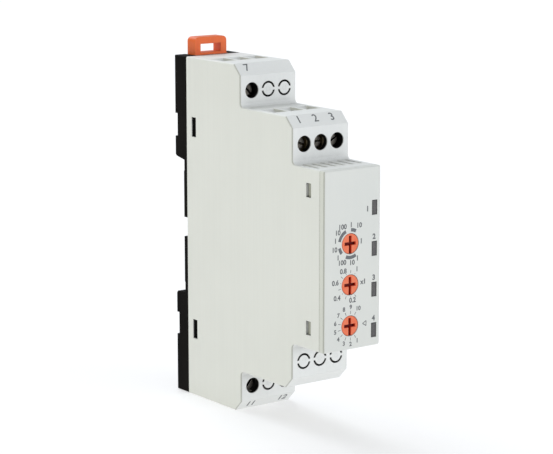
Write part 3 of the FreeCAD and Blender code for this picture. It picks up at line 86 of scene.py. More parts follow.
# For each tier's top: its height, how far down its openings the painted shade is left out and the painted
# glow reaches, and their front and rear.
TIER_TOPS = ((FRONT_TOP_Z, SLIT_DEPTH, FRONT_Y, SECOND_FACE_Y),
             (SECOND_TOP_Z, ENTRY_DEPTH, SECOND_FACE_Y + ENTRY_SET_BACK, FIRST_FACE_Y),
             (TOP_Z, ENTRY_DEPTH, FIRST_FACE_Y + ENTRY_SET_BACK, 0.0))
ABOVE_FRONT_Z = FRONT_TOP_Z + 1.5
COLUMN = 5.08
LENS_WIDTH = 1.5
KNOB_RADIUS = 2.5
DIAL_X = -0.62
DIAL_Z = [sum(box_mm(f"{dial}_knob")[corner][2] for corner in (0, 1)) / 2 for dial in DIALS]


# ---------------------------------------------------------------- shader arithmetic

class Wire:
    """A value in a finish's node tree. Arithmetic on wires and numbers adds Math nodes."""

    def __init__(self, finish, socket):
        self.finish = finish
        self.socket = socket

    def math(self, operation, first, second=0.0):
        return self.finish.node("Math", {"operation": operation}, {0: first, 1: second})

    def __add__(self, other):
        return self.math("ADD", self, other)

    __radd__ = __add__

    def __sub__(self, other):
        return self.math("SUBTRACT", self, other)

    def __rsub__(self, other):
        return self.math("SUBTRACT", other, self)

    def __mul__(self, other):
        return self.math("MULTIPLY", self, other)

    __rmul__ = __mul__

    def __abs__(self):
        return self.math("ABSOLUTE", self)

    def most(self, other):
        return self.math("MAXIMUM", self, other)

    def least(self, other):
        return self.math("MINIMUM", self, other)

    def rise(self, low, high):
        """0 below low and 1 above high, with a smooth step between them."""
        return self.finish.node("MapRange", {"interpolation_type": "SMOOTHSTEP"},
                                {"Value": self, "From Min": low, "From Max": high})


class Finish:
    """A material under construction, on object coordinates in millimetres."""

    def __init__(self, name):
        self.material = bpy.data.materials.new(name)
        self.material.use_nodes = True
        self.tree = self.material.node_tree
        self.tree.nodes.clear()
        place = self.node("TexCoord", output="Object")
        self.place = self.node("VectorMath", {"operation": "SCALE"}, {0: place, "Scale": 1 / MM})

    def node(self, kind, settings=None, values=None, output=0):
        """Adds one node: its settings first, then a number, colour or wire for each named socket."""
        made = self.tree.nodes.new(f"ShaderNode{kind}")
        for key, value in (settings or {}).items():
            setattr(made, key, value)
        for key, value in (values or {}).items():
            if isinstance(value, Wire):
                self.tree.links.new(value.socket, made.inputs[key])
            else:
                made.inputs[key].default_value = value
        return Wire(self, made.outputs[output])

    def part_of(self, vector, axis):
        """One component of a vector."""
        return self.node("SeparateXYZ", None, {0: vector}, output="XYZ".index(axis))

    def along(self, axis):
        """One coordinate of the place, in millimetres."""
        return self.part_of(self.place, axis)

    def noise(self, scale, detail=2.0, stretch=(1, 1, 1)):
        """Soft noise from 0 to 1, with about this many lumps per millimetre, stretched by axis."""
        spot = self.node("VectorMath", {"operation": "MULTIPLY"}, {0: self.place, 1: stretch})
        return self.node("TexNoise", None, {"Vector": spot, "Scale": scale, "Detail": detail})

    def mix(self, share, first, second):
        """The first colour, turning into the second as share goes from 0 to 1."""
        return self.node("Mix", {"data_type": "RGBA"}, {0: share, 6: first, 7: second}, output=2)

    def rounded(self, radius):
        """Normals as if each edge had this radius, in millimetres."""
        return self.node("Bevel", {"samples": 6}, {"Radius": radius * MM})

    def edges(self, radius):
        """1 along outer and inner edges, 0 away from them."""
        flat = self.node("NewGeometry", None, None, output="True Normal")
        turned_by = self.node("VectorMath", {"operation": "DOT_PRODUCT"}, {0: self.rounded(radius), 1: flat},
                              output="Value")
        return (1 - turned_by).rise(0.01, 0.25)

    def openness(self, reach):
        """1 on open faces and 0 deep in the part's own holes, looking this many millimetres around."""
        settings = {"samples": 8, "only_local": True}
        return self.node("AmbientOcclusion", settings, {"Distance": reach * MM}, output="AO")

    def relief(self, height, depth, normal=None):
        """A bump of this depth in millimetres, on top of another normal."""
        values = {"Height": height, "Strength": 1.0, "Distance": depth * MM}
        if normal is not None:
            values["Normal"] = normal
        return self.node("Bump", None, values)

    def close(self, colour, roughness, normal, metallic=0.0, **fixed):
        """Ends the finish in a Principled shader; fixed holds its sockets that never vary."""
        values = {"Base Color": colour, "Roughness": roughness, "Normal": normal, "Metallic": metallic}
        values.update({name.replace("_", " "): value for name, value in fixed.items()})
        shader = self.node("BsdfPrincipled", None, values, output="BSDF")
        output = self.tree.nodes.new("ShaderNodeOutputMaterial")
        self.tree.links.new(shader.socket, output.inputs["Surface"])
        return self.material


def tint(red, green, blue):
    """A colour given as display values from 0 to 255, turned into linear light."""
    def linear(value):
        share = value / 255
        return share / 12.92 if share <= 0.04045 else ((share + 0.055) / 1.055) ** 2.4
    return (linear(red), linear(green), linear(blue), 1.0)


# ---------------------------------------------------------------- finishes

# The strength of the emission that paints light into the openings of the tiers' tops.
GLOW_STRENGTH = 0.34
NO_BAND = 900


def moulded(name, colour, shade, edge_wear_and_highlight, roughness, streak=0.4, grain=0.012, round_off=0.12, gloss_level=0.35,
            hollows=False, seam_y=None, hidden=None):
    """Moulded plastic: faint flow streaks up the part, fine spark grain, and lighter edges, a painted
    highlight.

    hollows paints shade into the insides of holes and slits and the bores behind the screw faces, and paints
    shade on the upright front edges. The openings in the tiers' tops are spared the painted shade, and above
    the front section an emission paints light into them. seam_y is the depth of a line of painted shade
    where two mouldings meet.
    hidden paints shade on what lies inside the part's neighbour: a depth, the way past it (1 or -1), a share
    and a colour.
    """
    finish = Finish(name)
    glow = (0.0, 0.0, 0.0, 1.0)
    cloud = finish.noise(0.05, 3.0)
    streaks = finish.noise(2.6, 3.0, (0.5, 0.5, 0.01)).rise(0.3, 0.7)
    fine = finish.noise(9.0, 2.0)
    edge = finish.edges(round_off)
    uneven = cloud.rise(0.3, 0.7) * (1 - streak) + streaks * streak
    body = finish.mix(uneven * 0.8, colour, shade)
    speckled = finish.mix((fine - 0.5).rise(0.05, 0.2) * 0.12, body, shade)
    # Painted highlight: the edges lightened towards the edge colour.
    tone = finish.mix(edge * 0.4, speckled, edge_wear_and_highlight)
    if hollows:
        # Painted shade on the upright front edges, where the rounded normal turns sideways and forward.
        facing = finish.rounded(0.28)
        sideways = abs(finish.part_of(facing, "X")).rise(0.2, 0.6)
        upright = sideways * (0 - finish.part_of(facing, "Y")).rise(0.2, 0.6)
        tone = finish.mix(upright * 0.6, tone, tint(140, 140, 126))
        up = abs(finish.along("Z"))
        # The openings in the tiers' tops, down to each depth: left out of the painted shade below, and given
        # the painted glow.
        lit = 0.0
        back = finish.along("Y")
        for top, depth, near_y, far_y in TIER_TOPS:
            band = (up - (top - depth)).rise(0, depth * 0.6) * (top + 0.4 - up).rise(0, 0.3)
            lit = band * (back - near_y).rise(0, 0.2) * (far_y - back).rise(0, 0.2) + lit
        # The screw bores behind the tier faces, which get painted shade below.
        bore = 0.0
        for face_y, hole_z in SCREW_BORES:
            deep = (back - face_y).rise(0.05, 0.4)
            bore = deep * (BORE_RADIUS + 0.5 - abs(up - hole_z)).rise(0, 0.3) + bore
        bore = bore * (SIDE_X - 0.5 - abs(finish.along("X"))).rise(0, 0.2)
        open_share = finish.openness(4.0)
        # Painted shade: mid-grey in creases and hollows, left out in the openings of the tiers' tops.
        shaded = (1 - open_share.rise(0.4, 0.85)) * (1 - lit * 0.9) * 0.55
        tone = finish.mix(shaded, tone, tint(140, 142, 140))
        # Painted light: a faint emission in the openings of the tiers' tops above the front section.
        painted_glow = lit * (up - ABOVE_FRONT_Z).rise(0, 0.5) * (1 - open_share.rise(0.1, 0.7))
        glow = finish.mix(painted_glow, glow, tint(244, 244, 236))
        # Painted shade: near black deep in holes and slits and down the screw bores.
        inside = (1 - open_share.rise(0.2, 0.58)) * (1 - lit)
        tone = finish.mix(inside.most(bore), tone, tint(11, 10, 9))
    if hidden is not None:
        plane_y, way, share, dim = hidden
        # Painted shade on what lies past the plane, inside the neighbouring part.
        past = ((finish.along("Y") - plane_y) * way).rise(0.1, 0.4)
        tone = finish.mix(past * share, tone, dim)
    if seam_y is not None:
        # Painted shade: a faint dark line along the seam where two mouldings meet.
        seam_shade = 1 - abs(finish.along("Y") - seam_y).rise(0.05, 0.24)
        tone = finish.mix(seam_shade * 0.12, tone, tint(120, 118, 104))
    gloss = roughness + (fine - 0.5) * 0.12 + (cloud - 0.5) * 0.08 - edge * 0.06
    normal = finish.relief(fine, grain, finish.rounded(round_off))
    return finish.close(tone, gloss, normal, Specular_IOR_Level=gloss_level, Emission_Color=glow,
                        Emission_Strength=GLOW_STRENGTH)


def knob_plastic(name, colour, face_y):
    """Orange plastic with painted shade down the slots cut into the face, red on their walls and nearly
    black at their floor, and a painted highlight on the face's edges.
    """
    finish = Finish(name)
    cloud = finish.noise(0.6, 3.0)
    fine = finish.noise(14.0, 2.0)
    depth = finish.along("Y") - face_y
    wall = depth.rise(0.03, 0.3)
    floor = depth.rise(0.45, 0.78)
    edge = finish.edges(0.08)
    face = finish.mix(cloud.rise(0.35, 0.7) * 0.6, colour, tint(228, 104, 66))
    # Painted highlight on the edges of the face.
    lit = finish.mix(edge * (1 - wall) * 0.6, face, tint(250, 176, 146))
    # Painted shade down the slots: red on their walls, nearly black at their floor.
    tone = finish.mix(wall, lit, tint(214, 52, 22))
    dark = finish.mix(floor, tone, tint(96, 8, 4))
    gloss = 0.36 + (fine - 0.5) * 0.15 + wall * 0.2
    normal = finish.relief(fine, 0.004, finish.rounded(0.06))
    return finish.close(dark, gloss, normal, Specular_IOR_Level=0.15)


def metal(name, colour, dull, roughness, brushed=(1, 1, 0.08), scratch=0.006, edge_wear_and_highlight=0.5,
          painted_slot_shade=False):
    """Plated steel or brass with fine scratches one way and dull patches.
    Its edges are lighter, partly wear and partly a painted highlight, and it can paint shade into its slots.
    """
    finish = Finish(name)
    scratches = finish.noise(7.0, 3.0, brushed)
    patches = finish.noise(0.9, 4.0).rise(0.42, 0.7)
    edge = finish.edges(0.06)
    tone = finish.mix(patches * 0.6, colour, dull)
    # Painted highlight on the edges, partly standing for wear.
    bright = finish.mix(edge * edge_wear_and_highlight, tone, tint(236, 234, 226))
    if painted_slot_shade:
        # Painted shade in the slots and close round them.
        bright = finish.mix((1 - finish.openness(0.7).rise(0.35, 0.8)) * 0.85, bright, tint(12, 11, 10))
    gloss = roughness + (scratches - 0.5) * 0.2 + patches * 0.15
    normal = finish.relief(scratches, scratch, finish.rounded(0.05))
    return finish.close(bright, gloss, normal, metallic=1.0)


def window_plastic(name, spans):
    """Dark grey windows: a fine dimpled lens, rough with specks, darker all round each rim."""
    finish = Finish(name)
    specks = finish.noise(4.5, 3.0).rise(0.42, 0.62)
    dimples = finish.node("TexVoronoi", None, {"Vector": finish.place, "Scale": 2.6}, output="Distance")
    across = finish.along("X")
    up = finish.along("Z")
    rim = 0.0
    for low, high in spans:
        side = (across - (high[0] - LENS_WIDTH)).least(high[0] - across)
        end = (up - low[2]).least(high[2] - up)
        inside = side.least(end)
        rim = inside.rise(0.04, 0.32) * inside.rise(0.0, 0.001) + rim
    dotted = finish.mix(dimples.rise(0.1, 0.5) * 0.7, tint(98, 96, 95), tint(60, 58, 58))
    tone = finish.mix(specks * 0.4, dotted, tint(86, 84, 84))
    framed = finish.mix(rim, tint(38, 36, 37), tone)
    gloss = 0.42 + specks * 0.25
    normal = finish.relief(dimples * 0.7 + specks * 0.3, 0.05, finish.rounded(0.08))
    return finish.close(framed, gloss, normal)


def board_resin(name):
    """Green solder mask over tracks and pads, with bare weave at the board's edges."""
    finish = Finish(name)
    weave = finish.noise(2.6)
    tracks = finish.node("TexBrick", {"offset": 0.5}, {
        "Vector": finish.place, "Scale": 0.32, "Mortar Size": 0.06, "Color1": (0.0, 0.0, 0.0, 1.0),
        "Color2": (0.15, 0.15, 0.15, 1.0), "Mortar": (1.0, 1.0, 1.0, 1.0)}, output="Fac")
    mask = finish.mix(weave.rise(0.3, 0.7), tint(16, 84, 48), tint(24, 98, 56))
    tone = finish.mix(tracks * 0.6, mask, tint(58, 132, 74))
    gloss = 0.32 + (weave - 0.5) * 0.2
    return finish.close(tone, gloss, finish.relief(tracks * 0.6 + weave * 0.2, 0.02), Coat_Weight=0.2)


def part_finish(name, colour, second, roughness, band_y, scale, grain=0.01):
    """An electronic part's case: mottled colour, a band of the second colour, and a fine surface."""
    finish = Finish(name)
    mottle = finish.noise(scale, 3.0)
    fine = finish.noise(10.0, 2.0)
    edge = finish.edges(0.1)
    off_band = abs(finish.along("Y") - band_y).rise(0.2, 0.5)
    base = finish.mix((1 - off_band) * 0.8, colour, second)
    tone = finish.mix(mottle.rise(0.35, 0.7) * 0.25, base, second)
    edge_wear_and_highlight = finish.mix(edge * 0.3, tone, second)
    gloss = roughness + (fine - 0.5) * 0.15 - edge * 0.05
    return finish.close(edge_wear_and_highlight, gloss, finish.relief(fine, grain, finish.rounded(0.1)))


def printing_ink(name, colour):
    """Pad-printed ink: slightly uneven, broken at the grain of the plastic beneath."""
    finish = Finish(name)
    uneven = finish.noise(5.0, 3.0)
    fine = finish.noise(16.0, 2.0)
    tone = finish.mix(uneven.rise(0.35, 0.75) * 0.4, colour, tint(130, 132, 133))
    return finish.close(tone, 0.5 + (fine - 0.5) * 0.2, finish.relief(fine, 0.003))


LIGHT_GREY = tint(226, 227, 224)
JOINT_Y = box_mm("housing_shell")[0][1]
BASE_JOINT_Y = box_mm("housing_shell")[1][1]
FINISHES = {
    "housing": moulded("light_grey_housing", LIGHT_GREY, tint(221, 222, 219), tint(240, 242, 243), 0.5,
                       hollows=True, seam_y=JOINT_Y),
    "cover": moulded("light_grey_cover", tint(214, 215, 209), tint(209, 211, 206), tint(224, 225, 220), 0.46,
                     streak=0.2, hollows=True, seam_y=JOINT_Y,
                     # Painted shade on the cover's tabs where they sit in the housing's windows.
                     hidden=(JOINT_Y, 1, 0.6, tint(120, 120, 104))),
    "base": moulded("black_base", tint(26, 24, 23), tint(15, 14, 14), tint(50, 48, 46), 0.55, streak=0.3,
                    # Painted shade, near black, on the base's tabs inside the housing.
                    grain=0.02, gloss_level=0.02, hidden=(BASE_JOINT_Y, -1, 1.0, tint(1, 1, 1))),
    "latch": moulded("orange_latch", tint(235, 108, 37), tint(219, 88, 24), tint(248, 168, 112), 0.4,
                     streak=0.3, round_off=0.25),
    "knob": knob_plastic("orange_knob", tint(230, 124, 90), FRONT_Y),
    "window": window_plastic("smoked_window", [box_mm(node) for node in WINDOWS]),
    "rotor": part_finish("white_rotor", tint(222, 220, 210), tint(190, 188, 178), 0.45, NO_BAND, 0.8),
    "switch_body": part_finish("blue_switch", tint(38, 62, 118), tint(26, 44, 88), 0.42, NO_BAND, 0.7),
    "led": part_finish("clear_led", tint(236, 226, 150), tint(250, 246, 210), 0.25, NO_BAND, 1.2),
    "circuit_board": board_resin("green_board"),
    "header": part_finish("black_header", tint(26, 26, 28), tint(52, 52, 54), 0.5, NO_BAND, 0.9),
    "relay_case": part_finish("relay_cover", tint(36, 40, 46), tint(64, 70, 78), 0.38, -23.5, 0.5),
    "film_case": part_finish("film_case", tint(196, 164, 52), tint(150, 122, 36), 0.4, -40.0, 0.7),
    "can": part_finish("sleeved_can", tint(24, 28, 40), tint(176, 178, 184), 0.35, -39.5, 0.8),
    "varistor": part_finish("varistor_coat", tint(30, 78, 128), tint(20, 56, 98), 0.3, NO_BAND, 1.1, 0.03),
    "chip": part_finish("chip_epoxy", tint(28, 28, 30), tint(58, 58, 60), 0.52, NO_BAND, 1.0),
    "resistor": part_finish("resistor_coat", tint(204, 178, 138), tint(128, 84, 48), 0.45, -9.0, 1.0),
    "spring": metal("spring_wire", tint(198, 200, 202), tint(140, 140, 138), 0.3),
    "pin_metal": metal("tinned_pin", tint(206, 204, 196), tint(160, 156, 146), 0.34),
    "screw_steel": metal("dark_screw", tint(92, 88, 82), tint(48, 45, 40), 0.34, (1, 0.1, 1), edge_wear_and_highlight=0.9,
                         painted_slot_shade=True),
    "cage_steel": metal("zinc_cage", tint(150, 148, 138), tint(98, 94, 84), 0.36),
    "contact": metal("tinned_brass", tint(206, 184, 140), tint(150, 128, 92), 0.36),
}
INK = printing_ink("grey_ink", tint(84, 86, 88))
SCALE_INK = printing_ink("scale_ink", tint(88, 92, 95))

for cad_node in NODES.values():
    for place in cad_node.material_slots:
        place.material = FINISHES[place.material.name]


# ---------------------------------------------------------------- surfaces

def grid(points):
    """The points of a (rows, columns, 3) array with the quads between neighbours."""
    rows, columns = points.shape[:2]
    corner = np.arange(rows * columns).reshape(rows, columns)
    quads = np.stack([corner[:-1, :-1], corner[1:, :-1], corner[1:, 1:], corner[:-1, 1:]], axis=-1)
    return points.reshape(-1, 3), quads.reshape(-1, 4).tolist()


def new_piece(name, parts, body, finish, crease=35.0):
    """Joins (points, faces) parts in millimetres into one closed mesh that rides on a body."""
    points, faces, count = [], [], 0
    for part_points, part_faces in parts:
        points.append(part_points)
        faces += [[count + corner for corner in face] for face in part_faces]
        count += len(part_points)
    mesh = bpy.data.meshes.new(name)
    mesh.from_pydata((np.concatenate(points) * MM).tolist(), [], faces)
    work = bmesh.new()
    work.from_mesh(mesh)
    bmesh.ops.remove_doubles(work, verts=work.verts, dist=0.0004 * MM)
    bmesh.ops.dissolve_degenerate(work, edges=work.edges, dist=0.0004 * MM)
    bmesh.ops.recalc_face_normals(work, faces=work.faces)
    work.to_mesh(mesh)
    work.free()
    mesh.polygons.foreach_set("use_smooth", np.ones(len(mesh.polygons), bool))
    mesh.set_sharp_from_angle(angle=math.radians(crease))
    mesh.materials.append(finish)
    piece = bpy.data.objects.new(name, mesh)
    bpy.context.scene.collection.objects.link(piece)
    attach(piece, body)
    return piece


def turned(profile, turns, shape=None):
    """Carries (radius, depth) pairs round the Y axis: x = r sin t, z = r cos t, y = depth.

    shape(x, z, y, t) may return changed x, z and y.
    """
    angle = np.linspace(0, math.tau, turns + 1)
    angle[-1] = 0.0
    radius, depth = profile[:, :1], profile[:, 1:]
    x, z, y = radius * np.sin(angle), radius * np.cos(angle), depth + 0 * angle
    if shape is not None:
        x, z, y = shape(x, z, y, angle)
    return np.stack([x, y, z], axis=-1)


def corner_arc(centre, radius, start, end, steps):
    """Points on a circle in the (radius, depth) plane, from one angle to another in degrees."""
    angle = np.radians(np.linspace(start, end, steps))
    return np.stack([centre[0] + radius * np.cos(angle), centre[1] + radius * np.sin(angle)], axis=1)


def straight(start, end, steps):
    """Evenly spaced points between two (radius, depth) pairs."""
    return np.linspace(start, end, steps)


# ---------------------------------------------------------------- knobs

def within(value, half, wall):
    """1 inside a span of the given half length, falling smoothly to 0 over the wall's thickness."""
    share = np.clip((half - np.abs(value)) / wall, 0, 1)
    return share * share * (3 - 2 * share)


def make_knob(dial, centre_z):
    """A turned knob whose face sinks where either arm of the cross lies.

    The depth at (x, z) is 0.8 mm times the larger of two products of smooth steps, one for each arm.
    Behind the flange and stem, the section turns square for the key: r = side / max(|sin|, |cos|).
    """
    slot_depth, arm_half, wall = 0.8, 0.425, 0.09
    round_off = 0.16
    flange_front, flange_rear, stem_end, key_end = 1.25, 1.85, 3.3, 5.3
    face = straight((0, 0), (KNOB_RADIUS - round_off, 0), 56)
    rim = corner_arc((KNOB_RADIUS - round_off, round_off), round_off, -90, 0, 7)
    side = straight((KNOB_RADIUS, round_off + 0.05), (KNOB_RADIUS, flange_front), 12)
    rear = np.array([(3.1, flange_front), (3.1, flange_rear), (1.5, flange_rear), (1.5, stem_end)])
    front_rows = len(face) + len(rim) + len(side)

    def cut_cross(x, z, y, angle):
        level = within(x, 1.75, wall) * within(z, arm_half, wall)
        upright = within(x, arm_half, wall) * within(z + 0.35, 2.25 + wall, wall)
        through_rim = within(x, arm_half, wall) * (z < -1.0)
        sunk = slot_depth * np.maximum(level, np.maximum(upright, through_rim))
        sunk[front_rows:] = 0
        return x, z, np.maximum(y, sunk)

    body = turned(np.concatenate([face, rim, side, rear]), 256, cut_cross)
    key = np.array([(0.9, stem_end), (0.9, key_end - 0.15), (0.8, key_end), (0.0, key_end)])

    def square_off(x, z, y, angle):
        share = 1 / np.maximum(np.abs(np.sin(angle)), np.abs(np.cos(angle)))
        return x * share, z * share, y

    tail = turned(key, 256, square_off)
    shoulder = np.stack([body[-1], tail[0]])
    offset = np.array([DIAL_X, FRONT_Y, centre_z])
    parts = [grid(part + offset) for part in (body, shoulder, tail)]
    knob = new_piece(f"{dial}_knob_turned", parts, f"{dial}_dial", FINISHES["knob"])
    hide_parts(f"{dial}_knob")


# ---------------------------------------------------------------- terminal screws

def make_screw(pole, slot_turn):
    """A slotted clamp screw with a helical thread.

    The shank's radius at height y and angle t is the outer radius less the thread's depth times the
    distance of (y / pitch - t / turn) from the nearest whole number, doubled. The head's face sinks
    across its whole width where the slot lies.
    """
    low, high = box_mm(f"{pole}_screw")
    centre = (low + high) / 2
    head_radius, head_height, bevel = 1.65, 1.4, 0.3
    outer, pitch, thread = 1.25, 0.45, 0.24
    slot_half, slot_depth, wall = 0.3, 0.8, 0.07
    length = high[1] - low[1]
    face = straight((0, 0), (head_radius - bevel, 0), 34)
    rim = corner_arc((head_radius - bevel, bevel), bevel, -90, 0, 7)
    side = straight((head_radius, bevel + 0.05), (head_radius, head_height), 10)
    neck = np.array([(outer, head_height)])
    head_rows = len(face) + len(rim) + len(side)
    point = 0.5
    rows = int((length - point - head_height - 0.1) / pitch * 9)
    shank = straight((outer, head_height + 0.1), (outer, length - point), rows)
    cone = np.array([(outer - thread, length - 0.75 * point), (outer - point, length), (0, length)])

    def cut(x, z, y, angle):
        across = x * math.cos(slot_turn) + z * math.sin(slot_turn)
        sunk = slot_depth * within(across, slot_half, wall)
        sunk[head_rows:] = 0
        turn = y / pitch - angle / math.tau
        groove = 2 * np.abs(turn - np.round(turn))
        share = 1 - thread / outer * groove
        share[:head_rows + 1] = 1
        share[head_rows + 1 + rows:] = 1
        return x * share, z * share, np.maximum(y, sunk)

    profile = np.concatenate([face, rim, side, neck, shank, cone])
    offset = np.array([centre[0], low[1], centre[2]])
    screw = new_piece(f"{pole}_screw_threaded", [grid(turned(profile, 96, cut) + offset)],
                      f"{pole}_screw_body", FINISHES["screw_steel"], crease=50)
    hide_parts(f"{pole}_screw")


# ---------------------------------------------------------------- latch spring

def make_spring():
    """A coil with closed ends: a circle of wire carried along a helix.

    The height at turn share s is low + rise * (s - a sin(2 pi s) / (2 pi)), which packs the first and
    last turns together; the wire's section stands on the axis's outward and upward directions.
    """
    low, high = box_mm("latch_spring")
    centre = (low + high) / 2
    wire, turns, steps = 0.22, 7.5, 480
    mean = (high[0] - low[0]) / 2 - wire
    share = np.linspace(0, 1, steps)[:, None]
    angle = share * turns * math.tau
    rise = high[2] - low[2] - 2 * wire
    height = low[2] + wire + rise * (share - 0.72 * np.sin(math.tau * share) / math.tau)
    section = np.linspace(0, math.tau, 13)
    section[-1] = 0.0
    end = np.minimum(np.minimum(share, 1 - share) * steps / 2, 1.0)
    radius = mean + wire * np.sqrt(end) * np.cos(section)
    up = height + wire * np.sqrt(end) * np.sin(section)
    points = np.stack([centre[0] + radius * np.cos(angle), centre[1] + radius * np.sin(angle), up], axis=-1)
    spring = new_piece("latch_coil", [grid(points)], "timer", FINISHES["spring"], crease=80)
    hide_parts("latch_spring")
    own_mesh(spring)


# ---------------------------------------------------------------- printed marks

class Panel:
    """A flat face to print on: its origin, its right and up directions, and its outward normal."""

    def __init__(self, origin, right, up):
        self.origin = np.array(origin, float)
        self.right = np.array(right, float) / np.linalg.norm(right)
        self.up = np.array(up, float) / np.linalg.norm(up)
        self.out = np.cross(self.right, self.up)

    def lift(self, flat):
        """Turns (..., 3) points of across, up and out into the frame."""
        return self.origin + flat[..., :1] * self.right + flat[..., 1:2] * self.up + flat[..., 2:] * self.out


INK_LOW, INK_HIGH = -0.03, 0.012


def stroke(panel, path, width):
    """A thin rectangle of ink carried along a path of (across, up) points, closed at both ends."""
    path = np.asarray(path, float)
    forward = np.gradient(path, axis=0)
    forward /= np.linalg.norm(forward, axis=1, keepdims=True)
    aside = np.stack([-forward[:, 1], forward[:, 0]], axis=1) * width / 2
    left, right = path + aside, path - aside
    low, high = np.full((len(path), 1), INK_LOW), np.full((len(path), 1), INK_HIGH)
    pairs = (left, low), (left, high), (right, high), (right, low), (left, low)
    tube = np.stack([np.hstack(pair) for pair in pairs], axis=1)
    caps = [np.stack([np.stack([ring[0], ring[1]]), np.stack([ring[3], ring[2]])]) for ring in tube[[0, -1]]]
    return [grid(panel.lift(part)) for part in [tube] + caps]


def arc(centre, radius, start, end):
    """Points round a centre, from one clock angle to another: 0 is up, and degrees run clockwise."""
    angle = np.radians(np.linspace(start, end, max(2, int(abs(end - start) / 3))))
    return np.stack([centre[0] + radius * np.sin(angle), centre[1] + radius * np.cos(angle)], axis=1)


def digits(panel, text, spot, size, bold=0.065):
    """Plain figures centred on a point of the panel, with strokes thickened by a little."""
    curve = bpy.data.curves.new("figures", "FONT")
    curve.body = text
    curve.size = size
    curve.align_x, curve.align_y = "CENTER", "CENTER"
    curve.extrude = (INK_HIGH - INK_LOW) / 2
    curve.offset = bold
    curve.resolution_u = 4
    holder = bpy.data.objects.new("figures", curve)
    bpy.context.scene.collection.objects.link(holder)
    bpy.context.view_layer.update()
    mesh = bpy.data.meshes.new_from_object(holder.evaluated_get(bpy.context.evaluated_depsgraph_get()))
    flat = np.zeros(len(mesh.vertices) * 3)
    mesh.vertices.foreach_get("co", flat)
    flat = flat.reshape(-1, 3) + np.array([spot[0], spot[1], (INK_HIGH + INK_LOW) / 2])
    faces = [list(face.vertices) for face in mesh.polygons]
    bpy.data.objects.remove(holder)
    bpy.data.curves.remove(curve)
    bpy.data.meshes.remove(mesh)
    return panel.lift(flat), faces


FRONT_PANEL = Panel((0, FRONT_Y, 0), (1, 0, 0), (0, 0, 1))
SCALE_START, SCALE_STEP = 150.0, 240.0 / 9
STOPS = [SCALE_START + SCALE_STEP * number for number in range(10)]
FIGURE = 1.7


def figure_ring(dial_z, figures, size):
    """Figures round a dial: (stop number, radius, text). Longer texts stand further out sideways."""
    parts = []
    for number, radius, text in figures:
        across, up = arc((DIAL_X, dial_z), radius, STOPS[number], STOPS[number])[0]
        aside = math.copysign(0.28 * (len(text) - 1), math.sin(math.radians(STOPS[number])))
        parts.append(digits(FRONT_PANEL, text, (across + aside, up), size, 0.052))
    return parts


def tick_ring(dial_z, spans):
    """Short strokes that point at a dial: (stop number, inner radius, outer radius)."""
    parts = []
    for number, inner, outer in spans:
        ends = [arc((DIAL_X, dial_z), radius, STOPS[number], STOPS[number])[0] for radius in (inner, outer)]
        parts += stroke(FRONT_PANEL, ends, 0.15)
    return parts


def make_range_scale(dial_z):
    """Four grey arcs, each over two or three stops, with 1, 10 and 100 beside them."""
    arcs = []
    for first, last in ((0, 2), (3, 4), (5, 7), (8, 9)):
        arcs += stroke(FRONT_PANEL, arc((DIAL_X, dial_z), 3.42, STOPS[first], STOPS[last]), 0.85)
    new_piece("range_scale_arcs", arcs, "timer", SCALE_INK)
    figures = [(0, 4.5, "1"), (1, 4.8, "10"), (2, 4.9, "100"), (3, 4.9, "1"), (4, 4.7, "10"),
               (5, 4.7, "1"), (6, 4.7, "10"), (7, 4.7, "100"), (8, 4.6, "1"), (9, 4.9, "10")]
    parts = figure_ring(dial_z, figures, FIGURE)
    parts.append(digits(FRONT_PANEL, "1", (DIAL_X + 3.4, dial_z + 0.25), FIGURE))
    new_piece("range_scale_figures", parts, "timer", INK)


def make_time_scale(dial_z):
    """Ten ticks from 0.1 to 1, with every second one numbered, and the multiplier at the right."""
    figures = [(1, 3.95, "0.2"), (3, 4.5, "0.4"), (5, 4.1, "0.6"), (7, 3.9, "0.8"), (9, 4.25, "1")]
    parts = figure_ring(dial_z, figures, FIGURE)
    parts += tick_ring(dial_z, [(number, 2.95, 3.7) for number in range(0, 10, 2)])
    parts += tick_ring(dial_z, [(number, 2.9, 3.15) for number in range(1, 10, 2)])
    parts.append(digits(FRONT_PANEL, "x1", (DIAL_X + 4.1, dial_z + 0.3), FIGURE))
    new_piece("time_scale", parts, "timer", INK)


def make_mode_scale(dial_z):
    """Ten numbered stops, each with a tick, and a small triangle that points at the dial."""
    parts = figure_ring(dial_z, [(number, 4.65, str(number + 1)) for number in range(10)], 0.88 * FIGURE)
    parts += tick_ring(dial_z, [(number, 2.95, 3.75) for number in range(10)])
    middle = (DIAL_X + 4.6, dial_z)
    tip, top, bottom = ((middle[0] - 0.6, middle[1]), (middle[0] + 0.5, middle[1] + 0.62),
                        (middle[0] + 0.5, middle[1] - 0.62))
    for start, end in ((tip, top), (top, bottom), (bottom, tip)):
        parts += stroke(FRONT_PANEL, [start, end], 0.2)
    new_piece("mode_scale", parts, "timer", INK)


def make_window_marks():
    """A plain number over each indicator window but the first, whose number stands beside it."""
    parts = []
    for number, node in enumerate(WINDOWS, start=1):
        low, high = box_mm(node)
        middle = high[0] - LENS_WIDTH / 2
        spot = (middle - 2.2, high[2] - 2.0) if number == 1 else (middle - 0.1, high[2] + 1.15)
        parts.append(digits(FRONT_PANEL, str(number), spot, 1.08 * FIGURE, 0.07))
    new_piece("window_figures", parts, "timer", INK)


